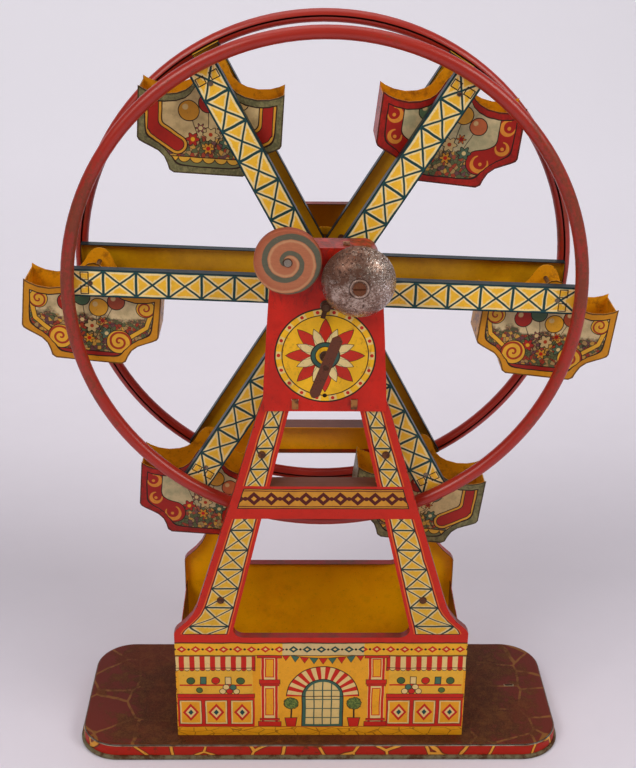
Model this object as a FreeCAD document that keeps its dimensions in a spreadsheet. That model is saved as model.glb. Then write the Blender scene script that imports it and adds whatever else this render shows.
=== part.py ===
import FreeCAD, Part
import math
import os

# Wind-up tin ferris wheel on a ticket-booth box and a pressed base tray.
# Millimetres. Origin at the bottom centre of the whole toy's envelope, +Z up, the
# decorated front faces -Y, the wheel axle runs along Y. The bell and key stand out
# in front, so the mid plane of the tray and wheel lies a little behind the origin.

V = FreeCAD.Vector
doc = FreeCAD.newDocument("tin_wheel")
dims = doc.addObject("Spreadsheet::Sheet", "dims")

cells = [
    ("mid_plane", 4.75, "mid plane of tray, towers and wheel behind the origin"),
    ("mid_line", 1.92, "middle of tray, towers and wheel right of the origin, as the leaning gondolas reach further left"),
    # base tray
    ("tray_length", 283.0, "outer length of the tray wall"),
    ("tray_depth", 102.0, "outer depth of the tray wall"),
    ("tray_height", 10.0, "height of the tray top"),
    ("tray_corner", 23.0, "plan radius of the tray wall corners"),
    ("tray_edge", 2.2, "rounding of the tray top edge"),
    ("tray_sheet", 0.5, "tray sheet thickness"),
    ("bead_width", 1.6, "how far the rolled bead stands out"),
    ("bead_height", 2.6, "height of the rolled bead"),
    # towers and box
    ("sheet", 0.45, "sheet thickness of the stampings"),
    ("tower_half", 42.0, "tower face to mid plane"),
    ("tower_flange", 5.0, "depth of the folded edges"),
    ("shelf_depth", 11.0, "depth of the cross bar shelf"),
    ("box_half", 84.0, "half width of the box"),
    ("wall_top", 64.0, "top of the box side walls"),
    ("window_low", 79.0, "lower edge of the big window"),
    ("bar_low", 157.0, "underside of the cross bar"),
    ("bar_top", 177.0, "top of the cross bar"),
    ("window_top", 223.5, "top of the upper window"),
    ("head_half", 30.0, "half width of the tower head"),
    ("head_top", 311.8, "top of the tower head"),
    # head cover
    ("cover_face", 42.8, "front face of the head cover to mid plane"),
    ("cover_half", 31.2, "half width of the cover where its rim begins"),
    ("cover_low", 222.5, "bottom of the cover face"),
    ("cover_top", 312.6, "top of the cover"),
    ("cover_depth", 16.4, "depth of the cover"),
    # wheel
    ("axle_z", 282.0, "axle height"),
    ("axle_r", 1.6, "axle radius"),
    ("axle_reach", 46.4, "axle end to mid plane"),
    ("wheel_r", 137.0, "outer radius of the rings"),
    ("ring_width", 7.0, "radial width of the rings"),
    ("ring_depth", 7.0, "axial depth of the rings"),
    ("ring_open", 22.8, "open edge of the rings to mid plane"),
    ("ring_sheet", 0.5, "ring sheet thickness"),
    ("spoke_face", 22.7, "spoke face to mid plane"),
    ("spoke_width", 15.0, "spoke width"),
    ("spoke_depth", 5.0, "spoke channel depth"),
    ("spoke_end", 133.0, "outer end of the spokes"),
    ("hub_r", 21.0, "hub disc radius"),
    ("hub_sheet", 0.8, "hub disc thickness"),
    ("rivet_circle", 18.0, "radius of the hub rivet circle"),
    ("tube_r", 3.4, "spacer tube radius"),
    ("pivot_r", 122.0, "radius of the gondola pivots"),
    ("rod_r", 1.2, "pivot rod radius"),
    ("rod_half", 23.1, "half length of a pivot rod"),
    # gondolas
    ("car_half", 36.5, "half width of a gondola"),
    ("car_low", 48.2, "pivot to gondola bottom"),
    ("car_depth", 26.0, "depth of a gondola"),
    # clockwork
    ("arbor_z", 254.0, "height of the winding arbor"),
    ("arbor_r", 1.6, "winding arbor radius"),
    ("plate_face", 27.4, "front face of the motor plate to mid plane"),
    ("plate_sheet", 0.8, "motor plate thickness"),
    ("pillar_r", 1.6, "pillar radius"),
    ("shaft_r", 1.2, "spinner shaft radius"),
    ("mid_r", 1.0, "middle arbor radius"),
    ("disc_x", -19.4, "spinner axis across"),
    ("disc_z", 307.4, "spinner axis height"),
    ("disc_r", 17.0, "spinner disc radius"),
    ("disc_thick", 5.3, "spinner disc thickness"),
    ("disc_front", 50.5, "spinner front face to mid plane"),
    ("bell_x", 16.0, "bell axis across"),
    ("bell_z", 297.5, "bell axis height"),
    ("bell_r", 18.7, "bell radius"),
    ("bell_rim", 50.0, "bell rim to mid plane"),
    ("bell_height", 10.6, "bell height"),
    ("key_length", 36.0, "winding key length"),
    ("key_width", 5.5, "winding key width"),
    ("key_thick", 1.1, "winding key thickness"),
    ("key_front", 57.9, "key front face to mid plane"),
    ("key_lean", 20.8, "lean of the key from upright in degrees"),
    ("running", 0.05, "running clearance on the shafts"),
]
for row, (alias, value, note) in enumerate(cells, start=1):
    dims.set("A%d" % row, "'" + alias.replace("_", " "))
    dims.set("B%d" % row, "%g" % value)
    dims.set("C%d" % row, "'" + note)
    dims.setAlias("B%d" % row, alias)
doc.recompute()


def val(alias):
    return float(dims.get(alias))


def bind(obj, **exprs):
    for prop, expr in exprs.items():
        obj.setExpression(prop.replace("__", "."), expr)


outputs = []      # (node name, final object)


def finish(node, obj):
    # every sub-part is set on the mid plane of the toy, which lies behind the origin and a little right of it
    part = doc.addObject("Part::Compound", node)
    part.Links = [obj]
    part.setExpression("Placement.Base.x", "dims.mid_line")
    part.setExpression("Placement.Base.y", "dims.mid_plane")
    part.Label = node
    outputs.append((node, part))
    return part


# ---------------------------------------------------------------- profiles

def loop(points, y=0.0):
    pts = [V(x, y, z) for x, z in points]
    return Part.makePolygon(pts + [pts[0]])


def ring_wire(x, z, r, y=0.0):
    return Part.Wire([Part.Circle(V(x, y, z), V(0, 1, 0), r).toShape()])


def profile(name, wires):
    p = doc.addObject("Part::Feature", name)
    p.Shape = Part.makeFace(wires, "Part::FaceMakerBullseye") if len(wires) > 1 else Part.Face(wires[0])
    return p


def extrude(name, prof, length, start=None):
    e = doc.addObject("Part::Extrusion", name)
    e.Base = prof
    e.DirMode = "Custom"
    e.Dir = V(0, 1, 0)
    e.Solid = True
    e.setExpression("LengthFwd", length)
    if start:
        e.setExpression("Placement.Base.y", start)
    return e


def cylinder(name, radius, length, x="0", y="0", z="0"):
    # a rod along +Y that starts at y
    c = doc.addObject("Part::Cylinder", name)
    c.Placement = FreeCAD.Placement(V(0, 0, 0), FreeCAD.Rotation(V(1, 0, 0), -90))
    bind(c, Radius=radius, Height=length, Placement__Base__x=x, Placement__Base__y=y, Placement__Base__z=z)
    return c


def box(name, length, width, height, x, y, z):
    b = doc.addObject("Part::Box", name)
    bind(b, Length=length, Width=width, Height=height,
         Placement__Base__x=x, Placement__Base__y=y, Placement__Base__z=z)
    return b


def cut(name, base, tool):
    c = doc.addObject("Part::Cut", name)
    c.Base, c.Tool = base, tool
    return c


def fuse(name, shapes):
    f = doc.addObject("Part::MultiFuse", name)
    f.Shapes = shapes
    return f


def group(name, shapes):
    g = doc.addObject("Part::Compound", name)
    g.Links = shapes
    return g


def inset(points, d):
    # shifts a counter-clockwise loop inwards by d (outwards when negative)
    n = len(points)
    out = []
    for i in range(n):
        (x0, z0), (x1, z1), (x2, z2) = points[i - 1], points[i], points[(i + 1) % n]
        a = (x1 - x0, z1 - z0)
        b = (x2 - x1, z2 - z1)
        la, lb = math.hypot(*a), math.hypot(*b)
        na = (-a[1] / la, a[0] / la)
        nb = (-b[1] / lb, b[0] / lb)
        k = 1.0 + na[0] * nb[0] + na[1] * nb[1]
        out.append((x1 + d * (na[0] + nb[0]) / k, z1 + d * (na[1] + nb[1]) / k))
    return out


def fillet_pts(cx, cz, r, a0, a1, n=6):
    return [(cx + r * math.cos(math.radians(a0 + (a1 - a0) * i / n)),
             cz + r * math.sin(math.radians(a0 + (a1 - a0) * i / n))) for i in range(n + 1)]


def body_on(name, plane):
    b = doc.addObject("PartDesign::Body", name)
    s = b.newObject("Sketcher::SketchObject", name + "_sketch")
    feat = [f for f in b.Origin.OriginFeatures if f.Role == plane][0]
    s.AttachmentSupport = (feat, [""])
    s.MapMode = "FlatFace"
    return b, s


def rounded(sketch, half_x, half_y, r):
    ang = math.pi / 2
    for sx, sy, a0 in ((1, 1, 0.0), (-1, 1, ang), (-1, -1, 2 * ang), (1, -1, 3 * ang)):
        c = V(sx * (half_x - r), sy * (half_y - r), 0)
        sketch.addGeometry(Part.ArcOfCircle(Part.Circle(c, V(0, 0, 1), r), a0, a0 + ang), False)
    for p, q in (((-1, 1), (1, 1)), ((-1, -1), (1, -1))):
        sketch.addGeometry(Part.LineSegment(V(p[0] * (half_x - r), p[1] * half_y, 0),
                                            V(q[0] * (half_x - r), q[1] * half_y, 0)), False)
    for sx in (-1, 1):
        sketch.addGeometry(Part.LineSegment(V(sx * half_x, -(half_y - r), 0),
                                            V(sx * half_x, half_y - r, 0)), False)


# ---------------------------------------------------------------- base tray

hx, hy, rc = val("tray_length") / 2, val("tray_depth") / 2, val("tray_corner")
tray, sk = body_on("tray_body", "XY_Plane")
rounded(sk, hx, hy, rc)
pad = tray.newObject("PartDesign::Pad", "tray_pad")
pad.Profile = sk
bind(pad, Length="dims.tray_height")
doc.recompute()
top_edges = ["Edge%d" % (i + 1) for i, e in enumerate(pad.Shape.Edges)
             if abs(e.BoundBox.ZMin - val("tray_height")) < 1e-6 and abs(e.BoundBox.ZMax - val("tray_height")) < 1e-6]
rnd = tray.newObject("PartDesign::Fillet", "tray_rounding")
rnd.Base = (pad, top_edges)
bind(rnd, Radius="dims.tray_edge")
tray.Tip = rnd
doc.recompute()
sk2 = tray.newObject("Sketcher::SketchObject", "bead_sketch")
sk2.AttachmentSupport = ([f for f in tray.Origin.OriginFeatures if f.Role == "XY_Plane"][0], [""])
sk2.MapMode = "FlatFace"
bw = val("bead_width")
rounded(sk2, hx + bw, hy + bw, rc + bw)
bead = tray.newObject("PartDesign::Pad", "bead_pad")
bead.Profile = sk2
bind(bead, Length="dims.bead_height")
tray.Tip = bead
doc.recompute()
bead_edges = ["Edge%d" % (i + 1) for i, e in enumerate(bead.Shape.Edges)
              if (abs(e.BoundBox.ZMax) < 1e-6 or (abs(e.BoundBox.ZMin - val("bead_height")) < 1e-6 and
                                                   abs(e.BoundBox.ZMax - val("bead_height")) < 1e-6))
              and (max(abs(e.BoundBox.XMax), abs(e.BoundBox.XMin)) > hx + bw - 0.01 or
                   max(abs(e.BoundBox.YMax), abs(e.BoundBox.YMin)) > hy + bw - 0.01)]
roll = tray.newObject("PartDesign::Fillet", "bead_rounding")
roll.Base = (bead, bead_edges)
bind(roll, Radius="dims.bead_height * 0.45")
tray.Tip = roll
doc.recompute()
sk3 = tray.newObject("Sketcher::SketchObject", "hollow_sketch")
sk3.AttachmentSupport = ([f for f in tray.Origin.OriginFeatures if f.Role == "XY_Plane"][0], [""])
sk3.MapMode = "FlatFace"
ts = val("tray_sheet")
rounded(sk3, hx - ts, hy - ts, rc - ts)
hollow = tray.newObject("PartDesign::Pocket", "tray_hollow")
hollow.Profile = sk3
hollow.Reversed = True
bind(hollow, Length="dims.tray_height - dims.tray_sheet")
tray.Tip = hollow
doc.recompute()
slot = box("tray_slot", "5.2", "1.4", "dims.tray_height", "116.5", "5.2", "5")
finish("base_tray", cut("tray_cut", tray, slot))

# ---------------------------------------------------------------- towers

bh, wl, bl, bt, wt = (val("box_half"), val("window_low"), val("bar_low"), val("bar_top"), val("window_top"))
hh, ht, z0 = val("head_half"), val("head_top"), val("tray_height")
right_edge = [(bh, z0), (bh, 82.0), (82.6, 84.4), (77.0, 89.6), (73.2, 94.4), (70.8, 99.4), (69.2, 104.5),
              (50.0, 169.0), (35.0, 221.5), (32.3, 229.0), (30.6, 236.0), (hh, 243.0), (29.8, 262.0), (28.2, 285.0),
              (26.2, 303.0), (25.4, 306.6), (23.6, 309.6), (21.4, 311.2), (19.4, ht)]
outline = right_edge + [(-x, z) for x, z in reversed(right_edge)]
slope = (51.5 - 18.5) / (wt - wl)


def inner_x(z):
    return 18.5 + slope * (wt - z)


low_corner = fillet_pts(inner_x(wl) - 7.0, wl + 6.0, 6.0, -90, -10)
low_window = ([(-x, z) for x, z in reversed(low_corner)] + low_corner +
              [(inner_x(bl + 0.0) - 0.0, bl), (-inner_x(bl), bl)])
top_window = [(-inner_x(bt), bt), (inner_x(bt), bt), (inner_x(wt), wt), (-inner_x(wt), wt)]

mid_c1 = 0.6 * (60 + 15) / 2.0
mid_c2 = 0.5 * (30 + 12) / 2.0
ax, az = 0.0, val("axle_z")
dx, dz = val("disc_x"), val("disc_z")
dd = math.hypot(dx - ax, dz - az)
along = (mid_c1 ** 2 + dd ** 2 - mid_c2 ** 2) / (2 * dd)
rise = math.sqrt(mid_c1 ** 2 - along ** 2)
ux, uz = (dx - ax) / dd, (dz - az) / dd
mid_x = ax + along * ux + rise * uz
mid_z = az + along * uz - rise * ux
bush_r = 3.0
sh = val("sheet")


def tower(tag, front):
    face = profile(tag + "_outline", [loop(outline), loop(low_window), loop(top_window)])
    plate = extrude(tag + "_plate", face, "dims.tower_flange")
    inner = profile(tag + "_inner", [loop(inset(outline, sh)), loop(inset(low_window, -sh)),
                                     loop(inset(top_window, -sh))])
    pocket = extrude(tag + "_pocket", inner, "dims.tower_flange", "dims.sheet")
    shell = cut(tag + "_shell", plate, pocket)
    shelf = box(tag + "_shelf", "2 * %g" % (inner_x(bt) - 0.5), "dims.shelf_depth - dims.sheet", "dims.sheet",
                "%g" % (-(inner_x(bt) - 0.5)), "dims.sheet", "dims.bar_top - dims.sheet")
    body = fuse(tag + "_body", [shell, shelf])
    holes = [cylinder(tag + "_axle_hole", "%g" % bush_r, "20", "0", "-10", "dims.axle_z")]
    holes += [cylinder(tag + "_rivet_hole%d" % i, "1.2", "20", "%g" % x, "-10", "%g" % z)
              for i, (x, z) in enumerate(leg_rivets)]
    if front:
        holes.append(cylinder(tag + "_arbor_hole", "%g" % bush_r, "20", "0", "-10", "dims.arbor_z"))
        holes.append(cylinder(tag + "_disc_hole", "dims.shaft_r + dims.running", "20", "dims.disc_x", "-10", "dims.disc_z"))
        holes.append(cylinder(tag + "_mid_hole", "dims.mid_r + dims.running", "20", "%g" % mid_x, "-10", "%g" % mid_z))
        holes.append(cylinder(tag + "_post_hole", "1.5", "20", "dims.bell_x", "-10", "dims.bell_z"))
        holes.append(cylinder(tag + "_stud_hole", "1.2", "20", "10", "-10", "286.5"))
        for i, (x, z) in enumerate(pillars):
            holes.append(cylinder(tag + "_pillar_hole%d" % i, "1.0", "20", "%g" % x, "-10", "%g" % z))
        for i, x in enumerate((-15.5, 15.5)):
            holes.append(box(tag + "_tab_slot%d" % i, "3.6", "20", "1.4", "%g" % (x - 1.8), "-10", "228.2"))
    c = cut(tag + "_cut", body, fuse(tag + "_holes", holes))
    if front:
        bind(c, Placement__Base__y="-dims.tower_half")
    else:
        c.Placement = FreeCAD.Placement(V(0, 0, 0), FreeCAD.Rotation(V(0, 0, 1), 180))
        bind(c, Placement__Base__y="dims.tower_half")
    return c


leg_rivets = [(-33.2, 196.5), (33.2, 196.5), (-57.0, 104.5), (57.0, 104.5)]
pillars = [(-23.4, 299.5), (23.4, 299.5), (-25.3, 237.0), (25.3, 237.0)]
finish("tower_front", tower("tf", True))
finish("tower_rear", tower("tr", False))

rivs = []
for side, (sgn, tag) in enumerate(((-1, "f"), (1, "r"))):
    for i, (x, z) in enumerate(leg_rivets):
        nm = "leg_rivet_%s%d" % (tag, i)
        if sgn < 0:
            shank = cylinder(nm + "_shank", "1.2", "dims.sheet", "%g" % x, "-dims.tower_half", "%g" % z)
            head = cylinder(nm + "_head", "2.1", "0.8", "%g" % x, "-dims.tower_half - 0.8", "%g" % z)
        else:
            shank = cylinder(nm + "_shank", "1.2", "dims.sheet", "%g" % x, "dims.tower_half - dims.sheet", "%g" % z)
            head = cylinder(nm + "_head", "2.1", "0.8", "%g" % x, "dims.tower_half", "%g" % z)
        rivs.append(fuse(nm, [shank, head]))
finish("leg_rivets", group("leg_rivet_group", rivs))

for tag, sgn in (("left", -1), ("right", 1)):
    b, s = body_on("wall_%s_body" % tag, "YZ_Plane")
    wy, ztop, zlow = val("tower_half") - sh - 0.05, val("wall_top"), z0 + sh + 0.05
    pts = [(-wy, zlow), (wy, zlow), (wy, ztop), (wy * 0.6, ztop - 0.8), (0.0, ztop - 1.2), (-wy * 0.6, ztop - 0.8), (-wy, ztop)]
    for i in range(len(pts)):
        p, q = pts[i], pts[(i + 1) % len(pts)]
        s.addGeometry(Part.LineSegment(V(p[0], p[1], 0), V(q[0], q[1], 0)), False)
    pd = b.newObject("PartDesign::Pad", "wall_%s_pad" % tag)
    pd.Profile = s
    bind(pd, Length="dims.sheet")
    b.Tip = pd
    bind(b, Placement__Base__x=("dims.box_half - 2 * dims.sheet - 0.05" if sgn > 0 else "-dims.box_half + dims.sheet + 0.05"))
    finish("side_wall_" + tag, b)

# ---------------------------------------------------------------- head cover and tabs

cf, chf, clw, ctp = val("cover_face"), val("cover_half"), val("cover_low"), val("cover_top")
cover_edge = [(32.6, clw), (32.0, 240.0), (chf, 252.0), (30.7, 262.0), (29.2, 285.0), (27.2, 303.0), (26.4, 307.2),
              (24.6, 310.4), (22.4, 312.0), (20.0, ctp)]
face_pts = cover_edge + [(-x, z) for x, z in reversed(cover_edge)]
cov_face = profile("cover_outline", [loop(face_pts)])
cov_plate = extrude("cover_plate", cov_face, "dims.sheet")
rim_out = [p for p in face_pts if p[1] > 250.0]
rim_in = inset([(chf + 0.6, 240.0)] + rim_out + [(-chf - 0.6, 240.0)], sh)[1:-1]
cov_rim = extrude("cover_rim", profile("cover_rim_outline", [loop(rim_out + rim_in[::-1])]), "dims.cover_depth")
cover = fuse("cover_body", [cov_plate, cov_rim])
ch = [cylinder("cover_axle_hole", "%g" % bush_r, "8", "0", "-4", "dims.axle_z"),
      cylinder("cover_arbor_hole", "%g" % bush_r, "8", "0", "-4", "dims.arbor_z"),
      cylinder("cover_disc_hole", "dims.shaft_r + dims.running", "8", "dims.disc_x", "-4", "dims.disc_z"),
      cylinder("cover_post_hole", "1.5", "8", "dims.bell_x", "-4", "dims.bell_z"),
      cylinder("cover_stud_hole", "1.2", "8", "10", "-4", "286.5"),
      cylinder("cover_peep_hole", "1.2", "8", "0", "-4", "231.7"),
      box("cover_top_slot", "3.6", "1.4", "6", "8.4", "8.0", "dims.cover_top - 3")]
ch += [box("cover_tab_slot%d" % i, "3.6", "8", "1.4", "%g" % (x - 1.8), "-4", "228.2") for i, x in enumerate((-15.5, 15.5))]
cov = cut("cover_cut", cover, fuse("cover_holes", ch))
bind(cov, Placement__Base__y="-dims.cover_face")
finish("head_cover", cov)

tabs = []
for i, x in enumerate((-15.5, 15.5)):
    leg = box("cover_tab%d_leg" % i, "3.4", "3.2", "1.2", "%g" % (x - 1.7), "-dims.cover_face - 0.6", "228.3")
    flap = box("cover_tab%d_flap" % i, "3.4", "0.6", "5.6", "%g" % (x - 1.7), "-dims.cover_face - 0.65", "223.9")
    tabs.append(fuse("cover_tab%d" % i, [leg, flap]))
leg = box("cover_tab2_leg", "3.4", "1.2", "3.0", "8.5", "-dims.cover_face + 8.1", "dims.cover_top - 2.4")
flap = box("cover_tab2_flap", "3.4", "5.4", "0.6", "8.5", "-dims.cover_face + 3.9", "dims.cover_top + 0.05")
tabs.append(fuse("cover_tab2", [leg, flap]))
finish("cover_tabs", group("cover_tab_group", tabs))

# ---------------------------------------------------------------- motor frame

mp, s = body_on("motor_plate_body", "XZ_Plane")
pw, pl, ph = 29.0, 229.5, 310.6
plate_edge = [(pw - 2, pl), (pw, pl + 2), (pw, 262.0), (27.8, 285.0), (26.0, 303.0), (24.6, 307.6), (21.0, ph)]
plate_pts = plate_edge + [(-x, z) for x, z in reversed(plate_edge)]
for i in range(len(plate_pts)):
    p, q = plate_pts[i], plate_pts[(i + 1) % len(plate_pts)]
    s.addGeometry(Part.LineSegment(V(p[0], p[1], 0), V(q[0], q[1], 0)), False)
for x, z, r in ([(0, az, bush_r), (0, val("arbor_z"), bush_r), (dx, dz, val("shaft_r") + val("running")),
                 (mid_x, mid_z, val("mid_r") + val("running"))] + [(x, z, 1.0) for x, z in pillars]):
    s.addGeometry(Part.Circle(V(x, z, 0), V(0, 0, 1), r), False)
pd = mp.newObject("PartDesign::Pad", "motor_plate_pad")
pd.Profile = s
bind(pd, Length="dims.plate_sheet")
mp.Tip = pd
bind(mp, Placement__Base__y="-dims.plate_face + dims.plate_sheet")
finish("motor_plate", mp)

pil = []
for i, (x, z) in enumerate(pillars):
    a = cylinder("pillar%d_body" % i, "dims.pillar_r", "dims.tower_half - dims.sheet - dims.plate_face",
                 "%g" % x, "-dims.tower_half + dims.sheet", "%g" % z)
    b = cylinder("pillar%d_pins" % i, "1.0", "dims.tower_half - dims.plate_face + 1.2",
                 "%g" % x, "-dims.tower_half", "%g" % z)
    pil.append(fuse("pillar%d" % i, [a, b]))
finish("motor_pillars", group("pillar_group", pil))


def bush(name, z, y, length, bore):
    a = cylinder(name + "_out", "%g" % bush_r, length, "0", y, z)
    b = cylinder(name + "_bore", bore, "60", "0", y + " - 5", z)
    return cut(name, a, b)


bore_a = "dims.axle_r + dims.running"
bore_b = "dims.arbor_r + dims.running"
finish("shaft_bushes", group("bush_group", [
    bush("bush_axle_front", "dims.axle_z", "-dims.cover_face - 0.5", "2.2", bore_a),
    bush("bush_axle_plate", "dims.axle_z", "-dims.plate_face - 0.3", "1.5", bore_a),
    bush("bush_axle_rear", "dims.axle_z", "dims.tower_half - 1.2", "2.0", bore_a),
    bush("bush_arbor_front", "dims.arbor_z", "-dims.cover_face - 0.5", "2.2", bore_b),
    bush("bush_arbor_plate", "dims.arbor_z", "-dims.plate_face - 0.3", "1.5", bore_b)]))

# mainspring: flat strip wound round the winding arbor, outer end hooked on a pillar
ox, oz = 0.0, val("arbor_z")
end_ang = math.degrees(math.atan2(pillars[2][1] - oz, pillars[2][0] - ox)) % 360
turns = 5.5
a_end = math.radians(end_ang)
a_start = a_end - 2 * math.pi * turns
n = 110
mid = []
for i in range(n + 1):
    t = i / n
    a = a_start + (a_end - a_start) * t
    r = 2.35 + (19.0 - 2.35) * t
    left = (a_end - a) / (math.pi / 2)
    if left < 1.0:
        r += (28.6 - 19.0) * (1.0 - left) ** 2
    mid.append((r, a))
outer_pts = [V((r + 0.17) * math.cos(a), 0, (r + 0.17) * math.sin(a)) for r, a in mid]
inner_pts = [V((r - 0.17) * math.cos(a), 0, (r - 0.17) * math.sin(a)) for r, a in mid]
c1 = Part.BSplineCurve()
c1.interpolate(outer_pts)
c2 = Part.BSplineCurve()
c2.interpolate(inner_pts)
w = Part.Wire([c1.toShape(), Part.makeLine(outer_pts[-1], inner_pts[-1]), c2.toShape(), Part.makeLine(inner_pts[0], outer_pts[0])])
spring_prof = doc.addObject("Part::Feature", "spring_profile")
spring_prof.Shape = Part.Face(w)
sp = extrude("spring_strip", spring_prof, "6.0")
bind(sp, Placement__Base__x="0", Placement__Base__y="-40.6", Placement__Base__z="dims.arbor_z")
finish("mainspring", sp)

# ---------------------------------------------------------------- bell and hammer

bell, s = body_on("bell_body", "XY_Plane")
br, bhh, bt_ = val("bell_r"), val("bell_height"), 0.8
arc_o = Part.Arc(V(br, 0.9, 0), V(0.70 * br, bhh * 0.72, 0), V(1.55, bhh, 0))
arc_i = Part.Arc(V(1.55, bhh - bt_, 0), V(0.70 * br - 0.55, bhh * 0.72 - 0.62, 0), V(br - bt_, 0.9, 0))
s.addGeometry(arc_o, False)
s.addGeometry(Part.LineSegment(V(1.55, bhh, 0), V(1.55, bhh - bt_, 0)), False)
s.addGeometry(arc_i, False)
s.addGeometry(Part.LineSegment(V(br - bt_, 0.9, 0), V(br - bt_, 0, 0)), False)
s.addGeometry(Part.LineSegment(V(br - bt_, 0, 0), V(br, 0, 0)), False)
s.addGeometry(Part.LineSegment(V(br, 0, 0), V(br, 0.9, 0)), False)
rv = bell.newObject("PartDesign::Revolution", "bell_turned")
rv.Profile = s
rv.ReferenceAxis = (s, ["V_Axis"])
rv.Angle = 360.0
bell.Tip = rv
bell.Placement = FreeCAD.Placement(V(0, 0, 0), FreeCAD.Rotation(V(1, 0, 0), 180))
bind(bell, Placement__Base__x="dims.bell_x", Placement__Base__y="-dims.bell_rim", Placement__Base__z="dims.bell_z")
finish("bell", bell)

post = cylinder("bell_post_rod", "1.5", "dims.bell_rim + dims.bell_height - 39.6", "dims.bell_x",
                "-dims.bell_rim - dims.bell_height", "dims.bell_z")
collar = cylinder("bell_post_collar", "2.6", "dims.bell_rim + dims.bell_height - 0.8 - dims.cover_face", "dims.bell_x",
                  "-dims.bell_rim - dims.bell_height + 0.8", "dims.bell_z")
nut = cylinder("bell_post_nut", "2.8", "1.5", "dims.bell_x", "-dims.tower_half + dims.sheet", "dims.bell_z")
screw = cylinder("bell_screw_head", "3.3", "1.38", "dims.bell_x", "-dims.bell_rim - dims.bell_height - 1.5", "dims.bell_z")
notch = box("bell_screw_notch", "8", "0.7", "0.9", "dims.bell_x - 4", "-dims.bell_rim - dims.bell_height - 1.5", "dims.bell_z - 0.45")
finish("bell_fixings", cut("bell_fix_cut", fuse("bell_fix_body", [post, collar, nut, screw]), notch))

px, pz = 10.0, 286.5
stud = cylinder("stud_rod", "1.2", "8.0", "10", "-dims.cover_face - 5.4", "286.5")
stud_head = cylinder("stud_head", "2.0", "0.7", "10", "-dims.cover_face - 5.5", "286.5")
stud_step = cylinder("stud_step", "2.0", "2.0", "10", "-dims.cover_face - 2.2", "286.5")
stud_step.setExpression("Height", "2.2")
finish("hammer_stud", fuse("stud_body", [stud, stud_head, stud_step]))

hx2, hz2 = 2.6, 303.4
tx2, tz2 = 6.9, 283.2


def strip(p, q, half):
    a = math.atan2(q[1] - p[1], q[0] - p[0])
    c, sn = math.cos(a) * half, math.sin(a) * half
    return [(p[0] + sn, p[1] - c), (q[0] + sn, q[1] - c), (q[0] - sn, q[1] + c), (p[0] - sn, p[1] + c)]


arm_y, arm_t = "-dims.cover_face - 4.0", "1.0"
arm = extrude("hammer_arm", profile("hammer_arm_outline", [loop(strip((px, pz), (hx2, hz2), 1.3))]), arm_t, arm_y)
tail = extrude("hammer_tail", profile("hammer_tail_outline", [loop(strip((tx2, tz2), (px, pz), 0.9))]), arm_t, arm_y)
eye = cylinder("hammer_eye", "2.4", arm_t, "10", arm_y, "286.5")
head = cylinder("hammer_head", "2.0", "4.6", "%g" % hx2, "-dims.cover_face - 8.2", "%g" % hz2)
hb = cylinder("hammer_bore", "1.26", "20", "10", "-55", "286.5")
finish("hammer", cut("hammer_cut", fuse("hammer_body", [arm, tail, eye, head]), hb))

# ---------------------------------------------------------------- rings

for tag, sgn in (("front", -1), ("rear", 1)):
    b, s = body_on("ring_%s_body" % tag, "XY_Plane")
    r1, rw = val("wheel_r"), val("ring_width")
    wall = val("ring_depth") - rw / 2
    t = val("ring_sheet")
    rm = r1 - rw / 2
    ro, ri = rw / 2, rw / 2 - t
    # rolled tube whose seam faces the spokes
    a0, a1 = math.radians(-82.0), math.radians(262.0)
    s.addGeometry(Part.ArcOfCircle(Part.Circle(V(rm, wall, 0), V(0, 0, 1), ro), a0, a1), False)
    s.addGeometry(Part.ArcOfCircle(Part.Circle(V(rm, wall, 0), V(0, 0, 1), ri), a0, a1), False)
    for a in (a0, a1):
        s.addGeometry(Part.LineSegment(V(rm + ro * math.cos(a), wall + ro * math.sin(a), 0),
                                       V(rm + ri * math.cos(a), wall + ri * math.sin(a), 0)), False)
    rv = b.newObject("PartDesign::Revolution", "ring_%s_turned" % tag)
    rv.Profile = s
    rv.ReferenceAxis = (s, ["V_Axis"])
    rv.Angle = 360.0
    b.Tip = rv
    if sgn < 0:
        b.Placement = FreeCAD.Placement(V(0, 0, 0), FreeCAD.Rotation(V(1, 0, 0), 180))
        bind(b, Placement__Base__y="-dims.ring_open", Placement__Base__z="dims.axle_z")
    else:
        bind(b, Placement__Base__y="dims.ring_open", Placement__Base__z="dims.axle_z")
    finish("ring_" + tag, b)

# ---------------------------------------------------------------- spokes

sw, se = val("spoke_width") / 2, val("spoke_end")
mitre = sw / math.tan(math.radians(30)) + 0.2
spoke_pts = [(4.4, -(4.4 - 0.2) * math.tan(math.radians(30))), (mitre, -sw), (se, -sw), (se, sw), (mitre, sw),
             (4.4, (4.4 - 0.2) * math.tan(math.radians(30)))]


def spoke(tag, angle, front):
    plate = extrude(tag + "_plate", profile(tag + "_outline", [loop(spoke_pts)]), "dims.spoke_depth")
    pocket = extrude(tag + "_pocket", profile(tag + "_inner", [loop(inset(spoke_pts, sh))]), "dims.spoke_depth", "dims.sheet")
    shell = cut(tag + "_shell", plate, pocket)
    holes = fuse(tag + "_holes", [cylinder(tag + "_pivot_hole", "dims.rod_r + dims.running", "4", "dims.pivot_r", "-2", "0"),
                                  cylinder(tag + "_rivet_hole", "1.0", "4", "dims.rivet_circle", "-2", "0")])
    c = cut(tag + "_cut", shell, holes)
    turn = FreeCAD.Rotation(V(0, 1, 0), -angle)
    if not front:
        turn = turn.multiply(FreeCAD.Rotation(V(1, 0, 0), 180))
    c.Placement = FreeCAD.Placement(V(0, 0, 0), turn)
    bind(c, Placement__Base__y=("-dims.spoke_face" if front else "dims.spoke_face"), Placement__Base__z="dims.axle_z")
    return c


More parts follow.
